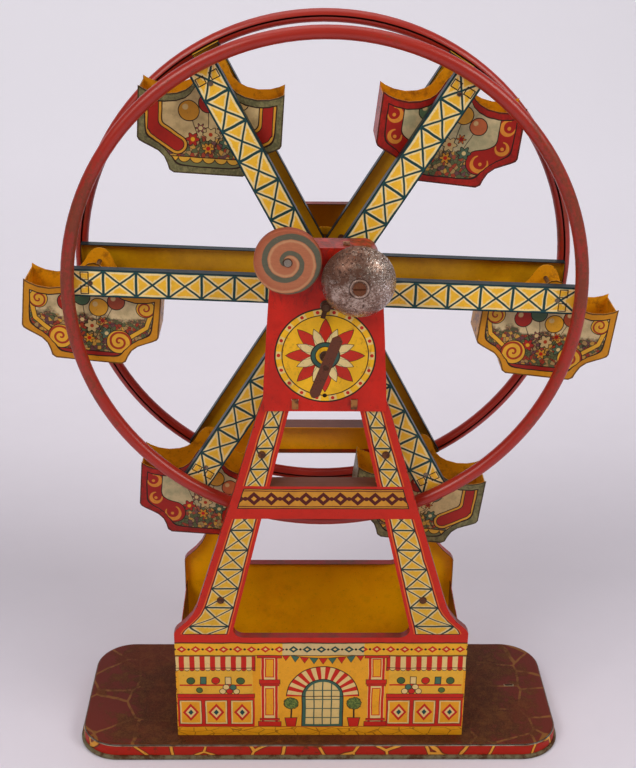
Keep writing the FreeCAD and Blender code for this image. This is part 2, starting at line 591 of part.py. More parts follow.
angles = [-2, 58, 118, 178, 238, 298]
lean = [6.5, 6.5, 3.5, 6.0, 4.5, 7.0]  # how far each gondola hangs off plumb, clockwise from the front
for k, a in enumerate(angles, start=1):
    finish("spoke_front_%d" % k, spoke("sf%d" % k, a, True))
for k, a in enumerate(angles, start=1):
    finish("spoke_rear_%d" % k, spoke("sr%d" % k, a, False))

# ---------------------------------------------------------------- hub

for tag, sgn in (("front", -1), ("rear", 1)):
    b, s = body_on("hub_%s_body" % tag, "XZ_Plane")
    s.addGeometry(Part.Circle(V(0, 0, 0), V(0, 0, 1), val("hub_r")), False)
    s.addGeometry(Part.Circle(V(0, 0, 0), V(0, 0, 1), val("axle_r")), False)
    pd = b.newObject("PartDesign::Pad", "hub_%s_pad" % tag)
    pd.Profile = s
    bind(pd, Length="dims.hub_sheet")
    b.Tip = pd
    doc.recompute()
    s2 = b.newObject("Sketcher::SketchObject", "hub_%s_hole_sketch" % tag)
    s2.AttachmentSupport = ([f for f in b.Origin.OriginFeatures if f.Role == "XZ_Plane"][0], [""])
    s2.MapMode = "FlatFace"
    s2.addGeometry(Part.Circle(V(val("rivet_circle"), 0, 0), V(0, 0, 1), 1.0), False)
    pk = b.newObject("PartDesign::Pocket", "hub_%s_hole" % tag)
    pk.Profile = s2
    pk.Type = "ThroughAll"
    pk.Midplane = True
    b.Tip = pk
    doc.recompute()
    pp = b.newObject("PartDesign::PolarPattern", "hub_%s_holes" % tag)
    pp.Originals = [pk]
    pp.Axis = ([f for f in b.Origin.OriginFeatures if f.Role == "Y_Axis"][0], [""])
    pp.Angle = 360.0
    pp.Occurrences = 6
    b.Tip = pp
    b.Placement = FreeCAD.Placement(V(0, 0, 0), FreeCAD.Rotation(V(0, 1, 0), -angles[0]))
    bind(b, Placement__Base__y=("-dims.spoke_face - 0.05" if sgn < 0 else "dims.spoke_face + 0.05 + dims.hub_sheet"),
         Placement__Base__z="dims.axle_z")
    finish("hub_disc_" + tag, b)

hr = []
for tag, sgn in (("f", -1), ("r", 1)):
    for k, a in enumerate(angles):
        x = val("rivet_circle") * math.cos(math.radians(a))
        z = val("rivet_circle") * math.sin(math.radians(a))
        nm = "hub_rivet_%s%d" % (tag, k)
        zx = "dims.axle_z + %.5f" % z
        if sgn < 0:
            y_out, y_in, y_s = "-dims.spoke_face - 0.05 - dims.hub_sheet - 0.6", "-dims.spoke_face + dims.sheet", "-dims.spoke_face - 1.0"
        else:
            y_out, y_in, y_s = "dims.spoke_face + 0.05 + dims.hub_sheet", "dims.spoke_face - dims.sheet - 0.6", "dims.spoke_face - 1.0"
        hr.append(fuse(nm, [cylinder(nm + "_out", "1.8", "0.6", "%.5f" % x, y_out, zx),
                            cylinder(nm + "_in", "1.8", "0.6", "%.5f" % x, y_in, zx),
                            cylinder(nm + "_shank", "1.0", "2.0", "%.5f" % x, y_s, zx)]))
finish("hub_rivets", group("hub_rivet_group", hr))

finish("axle", cylinder("axle_rod", "dims.axle_r", "2 * dims.axle_reach", "0", "-dims.axle_reach", "dims.axle_z"))
tube_o = cylinder("tube_out", "dims.tube_r", "2 * dims.spoke_face - 0.1", "0", "-dims.spoke_face + 0.05", "dims.axle_z")
tube_i = cylinder("tube_bore", "dims.axle_r", "60", "0", "-30", "dims.axle_z")
finish("axle_tube", cut("tube_cut", tube_o, tube_i))


def collar_ring(name, radius, length, y):
    a = cylinder(name + "_out", radius, length, "0", y, "dims.axle_z")
    b = cylinder(name + "_bore", "dims.axle_r", "60", "0", y + " - 20", "dims.axle_z")
    return cut(name, a, b)


finish("axle_collars", group("collar_group", [
    collar_ring("collar_front", "2.8", "2.2", "-25.85"),
    collar_ring("collar_rear", "2.8", "16.9", "23.65"),
    collar_ring("collar_end", "3.2", "1.2", "43.6")]))

trip_prof = profile("trip_outline", [loop(strip((0.0, -0.0), (-1.6, -5.9), 1.2))])
trip_a = extrude("trip_arm_bar", trip_prof, "1.0")
trip_b = cylinder("trip_arm_eye", "2.6", "1.0")
trip_c = cylinder("trip_arm_bore", "dims.axle_r", "4", "0", "-1", "0")
trip = cut("trip_cut", fuse("trip_body", [trip_a, trip_b]), trip_c)
bind(trip, Placement__Base__y="-dims.cover_face - 3.2", Placement__Base__z="dims.axle_z")
finish("trip_arm", trip)

pt = []
for tag, y in (("f", "-dims.spoke_face - 0.45"), ("r", "dims.spoke_face + 0.05")):
    for k, a in enumerate(angles):
        for j, wv in enumerate((-3.8, 3.8)):
            nm = "pivot_tab_%s%d%d" % (tag, k, j)
            e = extrude(nm, profile(nm + "_outline", [loop([(123.6, wv - 0.8), (126.6, wv - 0.8), (126.6, wv + 0.8), (123.6, wv + 0.8)])]), "0.4")
            e.Placement = FreeCAD.Placement(V(0, 0, 0), FreeCAD.Rotation(V(0, 1, 0), -a))
            bind(e, Placement__Base__y=y, Placement__Base__z="dims.axle_z")
            pt.append(e)
finish("pivot_tabs", group("pivot_tab_group", pt))

# ---------------------------------------------------------------- gears


def gear_points(m, z, tooth_at, slack=0.10, add=0.86, ded=1.15):
    r = m * z / 2.0
    rb = r * math.cos(math.radians(20))
    ra, rf = r + add * m, r - ded * m
    inv = lambda rho: math.tan(math.acos(min(1.0, rb / rho))) - math.acos(min(1.0, rb / rho))
    half = (math.pi * m / 2 - slack) / (2 * r) + inv(r)
    start = max(rb, rf)
    radii = [start + (ra - start) * i / 4.0 for i in range(5)]
    flank = [(rho, half - inv(rho)) for rho in radii]
    if rf < rb:
        flank = [(rf, half * 1.02)] + flank
    pts = []
    for k in range(z):
        c = math.radians(tooth_at) + 2 * math.pi * k / z
        for rho, off in flank:
            pts.append((rho * math.cos(c - off), rho * math.sin(c - off)))
        for rho, off in reversed(flank):
            pts.append((rho * math.cos(c + off), rho * math.sin(c + off)))
    return pts


def gear(name, m, z, tooth_at, thick, bore=None, windows=0):
    wires = [loop(gear_points(m, z, tooth_at))]
    if bore:
        wires.append(ring_wire(0, 0, bore))
    r = m * z / 2.0
    for k in range(windows):
        a = 2 * math.pi * (k + 0.5) / windows
        wires.append(ring_wire(0.58 * r * math.cos(a), 0.58 * r * math.sin(a), 0.22 * r))
    return extrude(name, profile(name + "_outline", wires), thick)


phi_b = math.degrees(math.atan2(mid_z - az, mid_x - ax))
phi_d = math.degrees(math.atan2(dz - mid_z, dx - mid_x))

g1 = gear("axle_pinion_gear", 0.8, 20, 270.0 + 9.0, "2.6", val("axle_r"))
bind(g1, Placement__Base__y="-30.8", Placement__Base__z="dims.axle_z")
finish("axle_pinion", g1)
g2 = gear("axle_wheel_gear", 0.6, 60, phi_b, "1.6", val("axle_r"), 5)
bind(g2, Placement__Base__y="-33.2", Placement__Base__z="dims.axle_z")
finish("axle_gear", g2)
g3 = gear("great_gear", 0.8, 50, 90.0, "2.0", val("arbor_r") + val("running"), 6)
bind(g3, Placement__Base__y="-30.5", Placement__Base__z="dims.arbor_z")
finish("great_wheel", g3)

helix = doc.addObject("Part::Helix", "clutch_path")
helix.Pitch = 1.0
helix.Height = 2.9
helix.Radius = 2.14
circ = doc.addObject("Part::Feature", "clutch_section")
circ.Shape = Part.Wire([Part.Circle(V(2.14, 0, 0), V(0, 1, 0), 0.42).toShape()])
coil = doc.addObject("Part::Sweep", "clutch_sweep")
coil.Sections = [circ]
coil.Spine = (helix, ["Edge1"])
coil.Solid = True
coil.Frenet = True
coil.Placement = FreeCAD.Placement(V(0, 0, 0), FreeCAD.Rotation(V(1, 0, 0), -90))
bind(coil, Placement__Base__y="-33.9", Placement__Base__z="dims.arbor_z")
finish("clutch_coil", coil)

arb = cylinder("arbor_rod", "dims.arbor_r", "dims.key_front - dims.plate_face + dims.plate_sheet + 0.3", "0", "-dims.key_front + 0.2", "dims.arbor_z")
arb_c = cylinder("arbor_stop", "2.4", "1.0", "0", "-dims.cover_face - 1.7", "dims.arbor_z")
finish("arbor", fuse("arbor_body", [arb, arb_c]))

kl, kw = val("key_length") / 2, val("key_width") / 2
key_pts = ([(kl - 2.0, -kw), (kl, -kw + 2.0), (kl, kw - 2.0), (kl - 2.0, kw), (-kl + 2.0, kw), (-kl, kw - 2.0), (-kl, -kw + 2.0), (-kl + 2.0, -kw)])
kp = extrude("key_strip", profile("key_outline", [loop(key_pts), ring_wire(0, 0, val("arbor_r"))]), "dims.key_thick")
kp.Placement = FreeCAD.Placement(V(0, 0, 0), FreeCAD.Rotation(V(0, 1, 0), -(90.0 - val("key_lean"))))
bind(kp, Placement__Base__y="-dims.key_front", Placement__Base__z="dims.arbor_z")
finish("key", kp)

mid_rod = cylinder("mid_rod", "dims.mid_r", "15.2", "0", "-41.9", "0")
mid_gear = gear("mid_pinion_gear", 0.6, 15, phi_b + 180.0 + 12.0, "2.4")
bind(mid_gear, Placement__Base__y="-33.6")
mid_a = fuse("mid_arbor_body", [mid_rod, mid_gear])
bind(mid_a, Placement__Base__x="%.6f" % mid_x, Placement__Base__z="%.6f" % mid_z)
finish("mid_arbor", mid_a)
mid_w = gear("mid_wheel_gear", 0.5, 30, phi_d, "1.6", val("mid_r"))
bind(mid_w, Placement__Base__x="%.6f" % mid_x, Placement__Base__y="-39.6", Placement__Base__z="%.6f" % mid_z)
finish("mid_wheel", mid_w)

d_rod = cylinder("disc_rod", "dims.shaft_r", "dims.disc_front - 26.8", "0", "-dims.disc_front", "0")
d_head = cylinder("disc_rod_head", "1.9", "0.9", "0", "-dims.disc_front - 0.9", "0")
d_stop = cylinder("disc_rod_stop", "2.2", "0.8", "0", "-dims.disc_front + dims.disc_thick", "0")
d_gear = gear("disc_pinion_gear", 0.5, 12, phi_d + 180.0 + 15.0, "2.8")
bind(d_gear, Placement__Base__y="-40.2")
d_shaft = fuse("disc_shaft_body", [d_rod, d_head, d_stop, d_gear])
bind(d_shaft, Placement__Base__x="dims.disc_x", Placement__Base__z="dims.disc_z")
finish("disc_shaft", d_shaft)

disc, s = body_on("disc_body", "XY_Plane")
dr, dt, e = val("disc_r"), val("disc_thick"), 0.7
pts = [(val("shaft_r"), 0), (dr - e, 0), (dr, e), (dr, dt - e), (dr - e, dt), (val("shaft_r"), dt)]
for i in range(len(pts)):
    p, q = pts[i], pts[(i + 1) % len(pts)]
    s.addGeometry(Part.LineSegment(V(p[0], p[1], 0), V(q[0], q[1], 0)), False)
rv = disc.newObject("PartDesign::Revolution", "disc_turned")
rv.Profile = s
rv.ReferenceAxis = (s, ["V_Axis"])
rv.Angle = 360.0
disc.Tip = rv
bind(disc, Placement__Base__x="dims.disc_x", Placement__Base__y="-dims.disc_front", Placement__Base__z="dims.disc_z")
finish("spinner_disc", disc)

# ---------------------------------------------------------------- rods and gondolas

chw, clow = val("car_half"), val("car_low")
arch = [(chw, -5.0), (33.5, -6.6), (29.0, -8.0), (23.0, -8.5), (17.0, -7.5), (12.8, -5.7), (10.0, -3.4), (8.2, -0.6),
        (6.7, 2.6), (5.0, 5.3), (2.8, 7.2), (0.0, 7.8)]
chamfer = [(17.5, -clow), (19.8, -46.8), (20.9, -43.6), (22.6, -40.2), (25.6, -37.4), (29.4, -35.6), (33.0, -34.0),
           (35.6, -32.6), (chw, -31.0)]
half_right = chamfer + arch
car_outline = half_right + [(-x, z) for x, z in reversed(half_right[:-1])]
u_out = [(-chw, -7.0), (-chw, -31.0)] + [(-x, z) for x, z in reversed(chamfer[:-1])] + chamfer[:-1] + [(chw, -31.0), (chw, -7.0)]
u_full = inset([(-chw, 5.0)] + u_out[1:-1] + [(chw, 5.0)], sh)
u_in = [(-chw + sh, -7.0)] + u_full[1:-1] + [(chw - sh, -7.0)]

for k, a in enumerate(angles, start=1):
    x = val("pivot_r") * math.cos(math.radians(a))
    z = val("pivot_r") * math.sin(math.radians(a))
    zx = "dims.axle_z + %.6f" % z
    rod = cylinder("rod%d_bar" % k, "dims.rod_r", "2 * dims.rod_half", "%.6f" % x, "-dims.rod_half", zx)
    s1 = cylinder("rod%d_stop_front" % k, "2.0", "0.8", "%.6f" % x, "-dims.car_depth / 2 - 1.0", zx)
    s2 = cylinder("rod%d_stop_rear" % k, "2.0", "0.8", "%.6f" % x, "dims.car_depth / 2 + 0.2", zx)
    finish("pivot_rod_%d" % k, fuse("rod%d_body" % k, [rod, s1, s2]))

for k, a in enumerate(angles, start=1):
    x = val("pivot_r") * math.cos(math.radians(a))
    z = val("pivot_r") * math.sin(math.radians(a))
    tag = "car%d" % k
    wires = [loop(car_outline), ring_wire(0, 0, val("rod_r") + val("running"))]
    front = extrude(tag + "_front", profile(tag + "_front_outline", wires), "dims.sheet")
    rear = extrude(tag + "_rear", profile(tag + "_rear_outline", wires), "dims.sheet", "dims.car_depth - dims.sheet")
    tub = extrude(tag + "_tub", profile(tag + "_tub_outline", [loop(u_out + u_in[::-1])]), "dims.car_depth - dims.sheet", "dims.sheet / 2")
    c = fuse(tag + "_body", [front, rear, tub])
    c.Placement = FreeCAD.Placement(V(0, 0, 0), FreeCAD.Rotation(V(0, 1, 0), lean[k - 1]))
    bind(c, Placement__Base__x="%.6f" % x, Placement__Base__y="-dims.car_depth / 2", Placement__Base__z="dims.axle_z + %.6f" % z)
    finish("gondola_%d" % k, c)

# ---------------------------------------------------------------- check and write

doc.recompute()
bad = []
for o in doc.Objects:
    if any(word in o.State for word in ("Invalid", "Error")):
        bad.append((o.Name, o.State))
for node, o in outputs:
    if o.Shape.isNull() or not o.Shape.isValid() or o.Shape.Volume <= 0:
        bad.append((node, "shape"))
if bad:
    raise RuntimeError("objects not sound: %s" % bad)
names = [node for node, _ in outputs]
assert len(names) == len(set(names)) and len(names) <= 60, len(names)
os.makedirs("parts", exist_ok=True)
for node, o in outputs:
    o.Shape.exportStep("parts/%s.step" % node)
    print("%-16s solids %2d volume %9.1f  %s" % (node, len(o.Shape.Solids), o.Shape.Volume,
          [round(v, 1) for v in (o.Shape.BoundBox.XMin, o.Shape.BoundBox.YMin, o.Shape.BoundBox.ZMin,
                                 o.Shape.BoundBox.XMax, o.Shape.BoundBox.YMax, o.Shape.BoundBox.ZMax)]))
print("parts", len(names))
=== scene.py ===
import math

import bpy
from mathutils import Matrix, Vector

# A wind-up tin ferris wheel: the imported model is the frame, every node gets a worked-out
# lithographed tin, steel or nickel surface. Lengths inside the materials are millimetres,
# with x across, z up and y measured from the toy's mid plane.

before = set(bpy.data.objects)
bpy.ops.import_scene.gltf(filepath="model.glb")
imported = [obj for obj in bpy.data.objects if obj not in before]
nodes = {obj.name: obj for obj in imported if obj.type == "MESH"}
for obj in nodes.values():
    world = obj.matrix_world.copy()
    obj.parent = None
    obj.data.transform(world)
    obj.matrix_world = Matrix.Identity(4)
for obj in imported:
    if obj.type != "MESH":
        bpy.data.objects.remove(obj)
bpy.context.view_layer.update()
MID = 4.75
ACROSS = 1.92
AXLE_Z = 282.0
ARBOR_Z = 254.0
DISC = (-19.4, 307.4)
BELL = (16.0, 297.5)
ANGLES = [-2, 58, 118, 178, 238, 298]
LEAN = [6.5, 6.5, 3.5, 6.0, 4.5, 7.0]


def C(r, g, b):
    """A colour given as 0-255 display values, in linear light."""
    def lin(c):
        c = c / 255.0
        return c / 12.92 if c <= 0.04045 else ((c + 0.055) / 1.055) ** 2.4
    return (lin(r), lin(g), lin(b), 1.0)


# ------------------------------------------------------------------ node arithmetic

class Val:
    def __init__(self, net, sock):
        self.net, self.sock = net, sock

    def __add__(self, o): return self.net.op("ADD", self, o)
    __radd__ = __add__
    def __sub__(self, o): return self.net.op("SUBTRACT", self, o)
    def __rsub__(self, o): return self.net.op("SUBTRACT", o, self)
    def __mul__(self, o): return self.net.op("MULTIPLY", self, o)
    __rmul__ = __mul__
    def __truediv__(self, o): return self.net.op("DIVIDE", self, o)
    def __rtruediv__(self, o): return self.net.op("DIVIDE", o, self)
    def __neg__(self): return self.net.op("MULTIPLY", self, -1.0)


class Net:
    """One material: the place of a point in millimetres, and arithmetic on it."""

    def __init__(self, name):
        self.mat = bpy.data.materials.new(name)
        self.mat.use_nodes = True
        self.t = self.mat.node_tree
        self.t.nodes.clear()
        self.out = self.new("ShaderNodeOutputMaterial")
        self.bsdf = self.new("ShaderNodeBsdfPrincipled")
        self.t.links.new(self.bsdf.outputs["BSDF"], self.out.inputs["Surface"])
        tc = self.new("ShaderNodeTexCoord")
        a = self.new("ShaderNodeVectorMath")
        a.operation = "MULTIPLY_ADD"
        self.t.links.new(tc.outputs["Object"], a.inputs[0])
        a.inputs[1].default_value = (1000.0, 1000.0, 1000.0)
        a.inputs[2].default_value = (-ACROSS, -MID, 0.0)
        self.P = Val(self, a.outputs[0])
        self.x, self.y, self.z = self.split(self.P)
        self.nx, self.ny, self.nz = self.split(Val(self, tc.outputs["Normal"]))

    def new(self, kind):
        return self.t.nodes.new(kind)

    def put(self, sock, v):
        if isinstance(v, Val):
            self.t.links.new(v.sock, sock)
        elif isinstance(v, tuple):
            sock.default_value = v[:len(sock.default_value)]
        else:
            sock.default_value = v

    def split(self, v):
        n = self.new("ShaderNodeSeparateXYZ")
        self.put(n.inputs[0], v)
        return [Val(self, n.outputs[i]) for i in range(3)]

    def join(self, x, y, z=0.0):
        n = self.new("ShaderNodeCombineXYZ")
        for i, v in enumerate((x, y, z)):
            self.put(n.inputs[i], v)
        return Val(self, n.outputs[0])

    def op(self, what, *args, clamp=False):
        n = self.new("ShaderNodeMath")
        n.operation = what
        n.use_clamp = clamp
        for i, v in enumerate(args):
            self.put(n.inputs[i], v)
        return Val(self, n.outputs[0])

    def vop(self, what, *args, scale=None, value=False):
        n = self.new("ShaderNodeVectorMath")
        n.operation = what
        for i, v in enumerate(args):
            self.put(n.inputs[i], v)
        if scale is not None:
            self.put(n.inputs["Scale"], scale)
        return Val(self, n.outputs["Value" if value else "Vector"])

    def ab(self, v): return self.op("ABSOLUTE", v)
    def mn(self, *v):
        r = v[0]
        for o in v[1:]:
            r = self.op("MINIMUM", r, o)
        return r
    def mx(self, *v):
        r = v[0]
        for o in v[1:]:
            r = self.op("MAXIMUM", r, o)
        return r
    def fract(self, v): return self.op("FRACT", v)
    def inv(self, v): return self.op("SUBTRACT", 1.0, v)

    def rise(self, v, lo, hi):
        """0 below lo, 1 above hi."""
        k = 1.0 / (hi - lo)
        return self.op("MULTIPLY_ADD", v, k, -lo * k, clamp=True)

    def inside(self, d, w=0.14):
        """1 where the signed distance d is below 0."""
        return self.op("MULTIPLY_ADD", d, -1.0 / w, 0.5, clamp=True)

    def line(self, d, half, w=0.14):
        return self.op("MULTIPLY_ADD", self.ab(d), -1.0 / w, half / w + 0.5, clamp=True)

    def band(self, v, lo, hi, w=0.14):
        return self.line(v - (lo + hi) / 2.0, (hi - lo) / 2.0, w)

    def box(self, x, y, cx, cy, hx, hy):
        return self.mx(self.ab(x - cx) - hx, self.ab(y - cy) - hy)

    def dist(self, p, c):
        n = self.new("ShaderNodeVectorMath")
        n.operation = "DISTANCE"
        self.put(n.inputs[0], p)
        n.inputs[1].default_value = (c[0], c[1], 0.0)
        return Val(self, n.outputs["Value"])

    def along(self, p, direction, shift=0.0):
        d = self.vop("DOT_PRODUCT", p, direction, value=True)
        return d + shift if shift else d

    def mix(self, f, a, b):
        n = self.new("ShaderNodeMix")
        n.data_type = "RGBA"
        n.clamp_factor = True
        self.put(n.inputs[0], f)
        self.put(n.inputs[6], a)
        self.put(n.inputs[7], b)
        return Val(self, n.outputs[2])

    def blend(self, f, a, b):
        """Plain numbers a to b by f."""
        n = self.new("ShaderNodeMix")
        n.data_type = "FLOAT"
        self.put(n.inputs[0], f)
        self.put(n.inputs[2], a)
        self.put(n.inputs[3], b)
        return Val(self, n.outputs[0])

    def times(self, col, k):
        return self.vop("SCALE", col, scale=k)

    def noise(self, p, scale, detail=3.0, rough=0.55, seed=0.0, warp=0.0, colour=False):
        n = self.new("ShaderNodeTexNoise")
        n.noise_dimensions = "4D"
        self.put(n.inputs["Vector"], p)
        n.inputs["W"].default_value = 7.3 * seed + 0.37
        n.inputs["Scale"].default_value = scale
        n.inputs["Detail"].default_value = detail
        n.inputs["Roughness"].default_value = rough
        n.inputs["Distortion"].default_value = warp
        return Val(self, n.outputs[1 if colour else 0])

    def cells(self, p, scale, feature="F1", rand=1.0, colour=False):
        n = self.new("ShaderNodeTexVoronoi")
        n.feature = feature
        self.put(n.inputs["Vector"], p)
        n.inputs["Scale"].default_value = scale
        n.inputs["Randomness"].default_value = rand
        return Val(self, n.outputs["Color" if colour else "Distance"])

    def curve(self, v, pts):
        """A value read off a polyline through pts, in the units of pts."""
        xs, ys = [p[0] for p in pts], [p[1] for p in pts]
        x0, x1, y0, y1 = min(xs), max(xs), min(ys), max(ys)
        n = self.new("ShaderNodeFloatCurve")
        c = n.mapping.curves[0]
        norm = sorted(((x - x0) / (x1 - x0), (y - y0) / (y1 - y0)) for x, y in pts)
        c.points[0].location = norm[0]
        c.points[1].location = norm[-1]
        for q in norm[1:-1]:
            c.points.new(*q)
        for q in c.points:
            q.handle_type = "VECTOR"
        n.mapping.update()
        self.put(n.inputs["Value"], self.op("MULTIPLY_ADD", v, 1.0 / (x1 - x0), -x0 / (x1 - x0), clamp=True))
        return self.op("MULTIPLY_ADD", Val(self, n.outputs[0]), y1 - y0, y0)

    def turn(self, x, y):
        return self.op("ARCTAN2", y, x)

    def petals(self, x, y, count, r0, amp):
        """Signed distance of a flower outline round the origin."""
        a = self.turn(x, y)
        r = self.vop("LENGTH", self.join(x, y), value=True)
        return r - self.op("MULTIPLY_ADD", self.op("COSINE", a * float(count)), amp, r0)

    def scroll(self, x, y, r, turns, half, hand=1.0, start=0.0):
        """Mask of a spiral stroke round the origin that winds in from radius r."""
        pitch = r / turns
        a = self.turn(x, y) * (hand / (2 * math.pi))
        d = self.vop("LENGTH", self.join(x, y), value=True)
        f = self.fract(d / pitch + a + (start + 10.0))
        stroke = self.line((f - 0.5) * pitch, half)
        return stroke * self.inside(d - r)

    def finish(self, colour, rough, metal=0.0, height=None, specular=0.5, coat=0.0, coat_rough=0.25):
        b = self.bsdf.inputs
        self.put(b["Base Color"], colour)
        self.put(b["Roughness"], rough)
        self.put(b["Metallic"], metal)
        b["Specular IOR Level"].default_value = specular
        b["Coat Weight"].default_value = coat
        b["Coat Roughness"].default_value = coat_rough
        if height is not None:
            n = self.new("ShaderNodeBump")
            n.inputs["Distance"].default_value = 0.001
            n.inputs["Strength"].default_value = 1.0
            self.put(n.inputs["Height"], height)
            self.t.links.new(n.outputs["Normal"], b["Normal"])
        return self.mat


# colours of the inks, enamels and metals, before light falls on them
RED = C(206, 38, 22)
RED_DEEP = C(156, 28, 20)
RED_RING = C(184, 46, 40)
MAROON = C(104, 30, 28)
YELLOW = C(250, 198, 46)
YELLOW_SOFT = C(240, 194, 64)
CREAM = C(238, 222, 176)
CREAM_COOL = C(222, 212, 178)
OCHRE = C(216, 142, 16)
TEAL = C(26, 78, 94)
NAVY = C(26, 50, 60)
INK = C(48, 30, 24)
GREYGREEN = C(136, 142, 116)
BLUEGREY = C(74, 88, 88)
GREEN = C(84, 122, 70)
SALMON = C(214, 112, 70)
RUST = C(92, 50, 26)
RUST_DARK = C(52, 28, 18)
RUST_LIGHT = C(140, 84, 44)
TIN = C(176, 170, 156)
STEEL = C(140, 134, 126)
BRASS = C(176, 140, 78)


VARNISH = (1.0, 0.90, 0.66)


def enamel(n, colour, seed=0, chips=0.735, rough=0.42, dents=0.16, edge=None, edge_colour=RUST, dirt=0.40,
           metal_bare=0.0, spec=0.22, coat=0.05):
    """Old lithographed tin: ink tone that drifts, dirt, small chips down to rust, dented sheet.
    edge is a 0-1 mask of places that are rubbed most."""
    big = n.noise(n.P, 0.028, 3, 0.55, seed + 1)
    mid = n.noise(n.P, 0.16, 4, 0.6, seed + 2)
    fine = n.noise(n.P, 1.3, 4, 0.7, seed + 3)
    tone = n.op("MULTIPLY_ADD", big, dirt, 1.0 - dirt * 0.62) + mid * (dirt * 0.35) + (fine - 0.5) * 0.22
    col = n.vop("MULTIPLY", n.times(colour, tone), VARNISH)
    # brown film that has settled in patches, and a fine speckle of dirt
    film = n.rise(mid, 0.50, 0.76) * 0.42
    col = n.mix(film, col, n.times(col, 0.55))
    speck = n.rise(n.noise(n.P, 0.9, 6, 0.78, seed + 6), 0.585, 0.66)
    col = n.mix(speck * 0.42, col, C(66, 40, 24))
    chip_noise = n.noise(n.P, 0.42, 7, 0.74, seed + 4, 0.4)
    if edge is not None:
        chip_noise = n.op("MULTIPLY_ADD", edge, 0.17, chip_noise)
    chip = n.rise(chip_noise, chips, chips + 0.018)
    halo = n.rise(chip_noise, chips - 0.035, chips + 0.01) * 0.45
    rust_col = n.mix(fine, edge_colour, RUST_DARK)
    col = n.mix(halo, col, n.times(col, 0.5))
    col = n.mix(chip, col, rust_col)
    r = n.op("MULTIPLY_ADD", mid, 0.22, rough - 0.11) + (fine - 0.5) * 0.10
    r = n.op("MULTIPLY_ADD", chip, 0.35, r, clamp=True)
    h = n.noise(n.P, 0.045, 2, 0.5, seed + 5) * dents * 2.2 + mid * (dents * 0.10) + fine * 0.007 - chip * 0.03
    metal = chip * metal_bare if metal_bare else 0.0
    return n.finish(col, r, metal, h, spec, coat)


def steel(name, base, seed=0, rust=0.55, rough=0.36, pits=0.03, rust_colours=(RUST, RUST_DARK)):
    n = Net(name)
    fine = n.noise(n.P, 1.6, 5, 0.7, seed + 1)
    big = n.noise(n.P, 0.14, 4, 0.6, seed + 2, 0.3)
    rm = n.rise(big + (fine - 0.5) * 0.5, rust - 0.06, rust + 0.06)
    col = n.times(base, n.op("MULTIPLY_ADD", fine, 0.5, 0.75))
    rc = n.mix(fine, rust_colours[0], rust_colours[1])
    col = n.vop("MULTIPLY", n.mix(rm, col, rc), (1.0, 0.90, 0.78))
    metal = n.op("MULTIPLY_ADD", rm, -0.75, 0.95)
    r = n.op("MULTIPLY_ADD", rm, 0.35, rough) + (fine - 0.5) * 0.16
    return n.finish(col, r, metal, fine * pits + big * 0.02 + rm * 0.02, 0.5)


def give(names, mat):
    for name in names:
        o = nodes[name]
        o.data.materials.clear()
        o.data.materials.append(mat)
        for p in o.data.polygons:
            p.material_index = 0


def lattice_colour(n, u, v, pitch, half_w, ink=C(24, 66, 78), seed=0, line=0.54, patch=1.30):
    """X bracing between two borders: u runs along, v across (0 in the middle)."""
    uc = (n.fract(u / pitch) - 0.5) * pitch
    hl = pitch / 2.0
    av = n.ab(v)
    au = n.ab(uc)
    if isinstance(half_w, Val):
        diag = n.ab(av * hl - au * half_w) / n.op("SQRT", half_w * half_w + hl * hl)
    else:
        diag = n.ab(av * hl - au * half_w) / math.hypot(hl, half_w)
    rung = hl - au
    rail = half_w - av
    away = n.mn(diag, rung, rail)
    mott = n.noise(n.P, 0.55, 4, 0.7, seed + 11)
    yellow = n.rise(away + (mott - 0.5) * 1.9, patch - 0.22, patch + 0.22)
    ground = n.mix(n.noise(n.P, 0.09, 3, 0.6, seed + 12), C(248, 236, 200), C(240, 220, 168))
    ycol = n.mix(mott, C(250, 206, 50), C(236, 180, 34))
    col = n.mix(yellow * 0.95, ground, ycol)
    lines = n.mx(n.inside(diag - line, 0.2), n.inside(rung - line * 1.3, 0.2))
    return n.mix(lines, col, ink), rail


# ------------------------------------------------------------------ wheel

